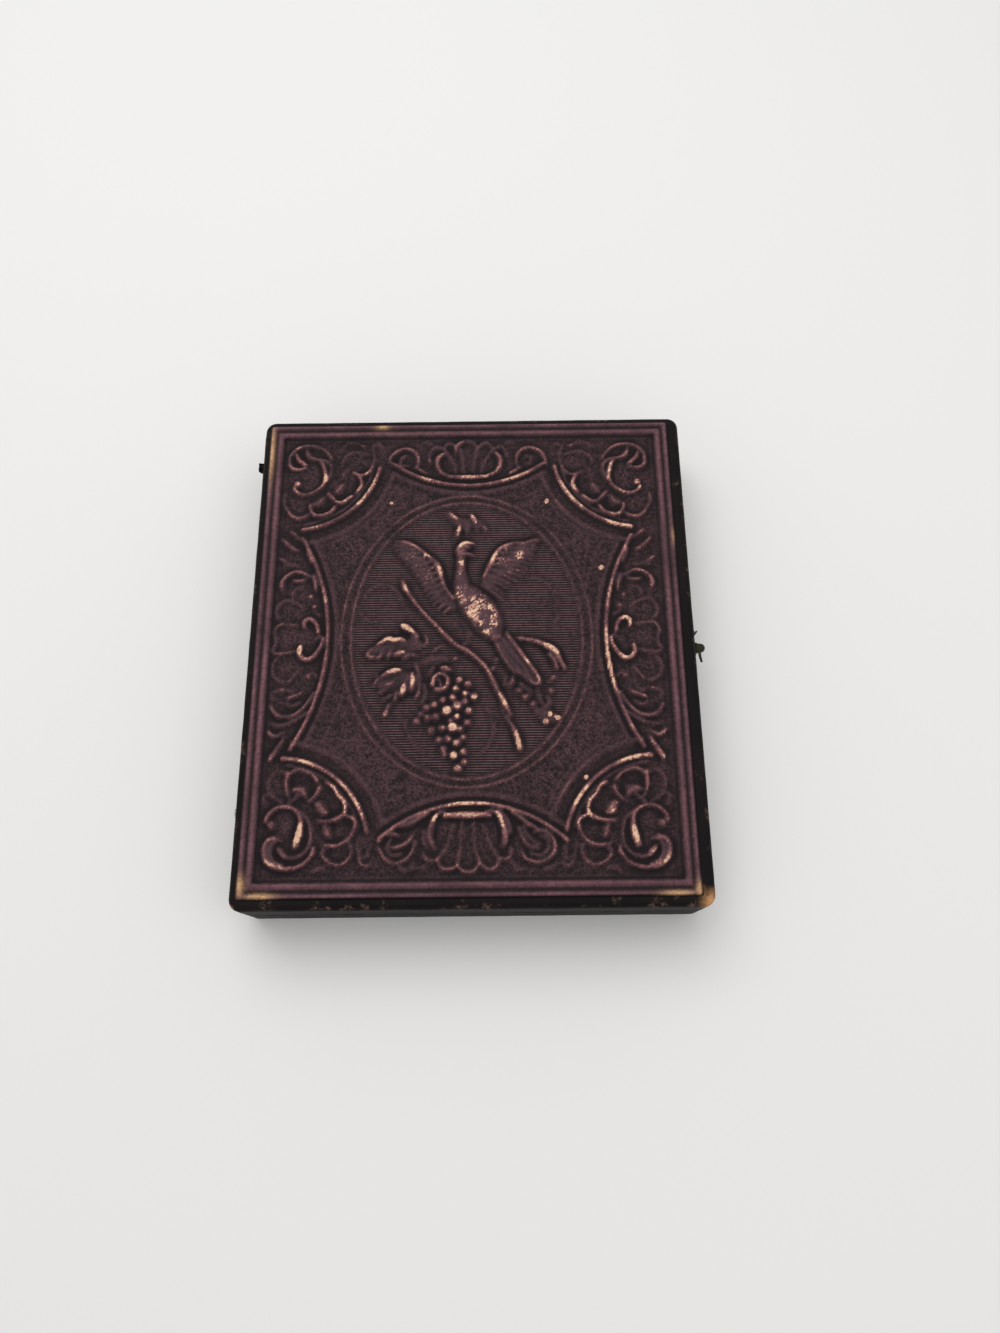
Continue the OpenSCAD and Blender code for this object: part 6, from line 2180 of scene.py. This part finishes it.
@dataclass(frozen=True)
class Viewpoint:
    """Where the photograph was taken from: angles in degrees, lengths in metres."""

    azimuth: float = 0.305
    elevation: float = 70.751
    roll: float = -0.943
    distance: float = 0.168036
    target: Place = (0.004962, -0.004759, 0.0163)
    focal_px: float = 960.0
    long_side_px: float = 1333.0

    def build(self) -> Object:
        """Make the camera and look through it."""
        a, e, r = (math.radians(v) for v in (self.azimuth, self.elevation, self.roll))
        back = Vector((math.sin(a) * math.cos(e), -math.cos(a) * math.cos(e), math.sin(e)))
        right = Vector((math.cos(a), math.sin(a), 0))
        up = back.cross(right)
        turned_right = right * math.cos(r) + up * math.sin(r)
        turned_up = up * math.cos(r) - right * math.sin(r)
        data = bpy.data.cameras.new("camera")
        data.sensor_width = 36.0
        data.lens = self.focal_px / self.long_side_px * data.sensor_width
        data.clip_start, data.clip_end = 0.001, 20.0
        made = linked("camera", data)
        made.matrix_world = Matrix.Translation(
            Vector(self.target) + back * self.distance
        ) @ Matrix((turned_right, turned_up, back)).transposed().to_4x4()
        bpy.context.scene.camera = made
        return made


@dataclass
class Studio:
    """Pale floor, a soft key lamp from behind, a weaker fill lamp and an even sky."""

    floor_finish: FloorFinish = field(default_factory=FloorFinish)
    floor_half: float = 3.0
    sky: float = 0.64
    key_at: Place = (-0.10, 0.20, 0.48)
    key_size: float = 0.40
    key_watts: float = 1.25
    fill_at: Place = (0.30, -0.10, 0.50)
    fill_size: float = 0.35
    fill_share: float = 0.35

    def build(self) -> None:
        """Make the floor, the lamps and the sky."""
        floor = bmesh.new()
        bmesh.ops.create_grid(floor, x_segments=4, y_segments=4, size=self.floor_half)
        mesh = bpy.data.meshes.new("floor")
        floor.to_mesh(mesh)
        floor.free()
        made = linked("floor", mesh)
        mesh.materials.append(self.floor_finish.build())
        self._lamp("key", self.key_at, self.key_size, self.key_watts)
        self._lamp("fill", self.fill_at, self.fill_size, self.fill_share * self.key_watts)
        bpy.context.scene.view_settings.view_transform = "Standard"
        world = bpy.data.worlds.new("sky")
        bpy.context.scene.world = world
        world.use_nodes = True
        sky = world.node_tree.nodes["Background"]
        sky.inputs["Color"].default_value = (1.0, 1.0, 1.0, 1.0)
        sky.inputs["Strength"].default_value = self.sky

    def _lamp(self, name: str, place: Place, size: float, watts: float) -> None:
        """Make a square soft lamp that points at the case.

        Args:
            name: Its name.
            place: Where it hangs.
            size: Its side.
            watts: Its power.
        """
        data = bpy.data.lights.new(name, "AREA")
        data.size = size
        data.energy = watts
        made = linked(name, data)
        made.location = place
        made.rotation_mode = "QUATERNION"
        made.rotation_quaternion = (-Vector(place)).to_track_quat("-Z", "Y")


def main() -> None:
    """Build the studio and dress the case."""
    logging.basicConfig(level=logging.INFO, format="%(name)s: %(message)s")
    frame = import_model()
    Viewpoint().build()
    Studio().build()
    pressed = PressedLeather().build()
    smooth = SmoothLeather().build()
    finishes = {
        Slot.WOOD: Wood().build(),
        Slot.SMOOTH: smooth,
        Slot.PRESSED: pressed,
        Slot.VELVET: Velvet().build(),
        Slot.PAPER: Paper().build(),
        Slot.CARD: Paper("card", srgb(150, 132, 104), srgb(110, 92, 70)).build(),
        Slot.GILT: Metal("gilt brass", srgb(212, 168, 90), srgb(176, 130, 66), 0.3, 0.35).build(),
        Slot.DARK_BRASS: Metal("dark brass", srgb(92, 84, 60), srgb(40, 38, 30), 0.4, 0.8).build(),
        Slot.SILVER: SilverPlate().build(),
        Slot.GLASS: Glass().build(),
    }
    slots = {s["node"]: Slot(s["material_slot"]) for s in frame["record"]["subparts"]}
    stained = Wood("stained rim", srgb(64, 38, 28), srgb(40, 24, 18)).build()
    for name, obj in frame["nodes"].items():
        obj.data.materials.clear()
        obj.data.materials.append(stained if "rail" in name else finishes[slots[name]])
    parts = [
        Cover("lid", "lid_embossed_leather", 1, pressed).build(),
        Cover("tray", "tray_embossed_leather", -1, pressed, wear=0.4).build(),
        SideLeather(
            "lid", "lid_side_leather", 1, smooth, bare_at=((39.6, -45.9, 1.9), (-39.6, -45.9, 0.8))
        ).build(),
        SideLeather("tray", "tray_side_leather", -1, smooth).build(),
        *Spine(smooth).build(),
        Cushion(finishes[Slot.VELVET]).build(),
        *Retainers(finishes[Slot.VELVET]).build(),
        Preserver(finishes[Slot.GILT]).build(),
        Mat(finishes[Slot.GILT]).build(),
        *Tatters(smooth).build(),
        *LatchTrim(finishes[Slot.DARK_BRASS]).build(),
    ]
    for made in parts:
        log.info("%s: %d faces", made.name, len(made.data.polygons))


if __name__ == "__main__":
    main()
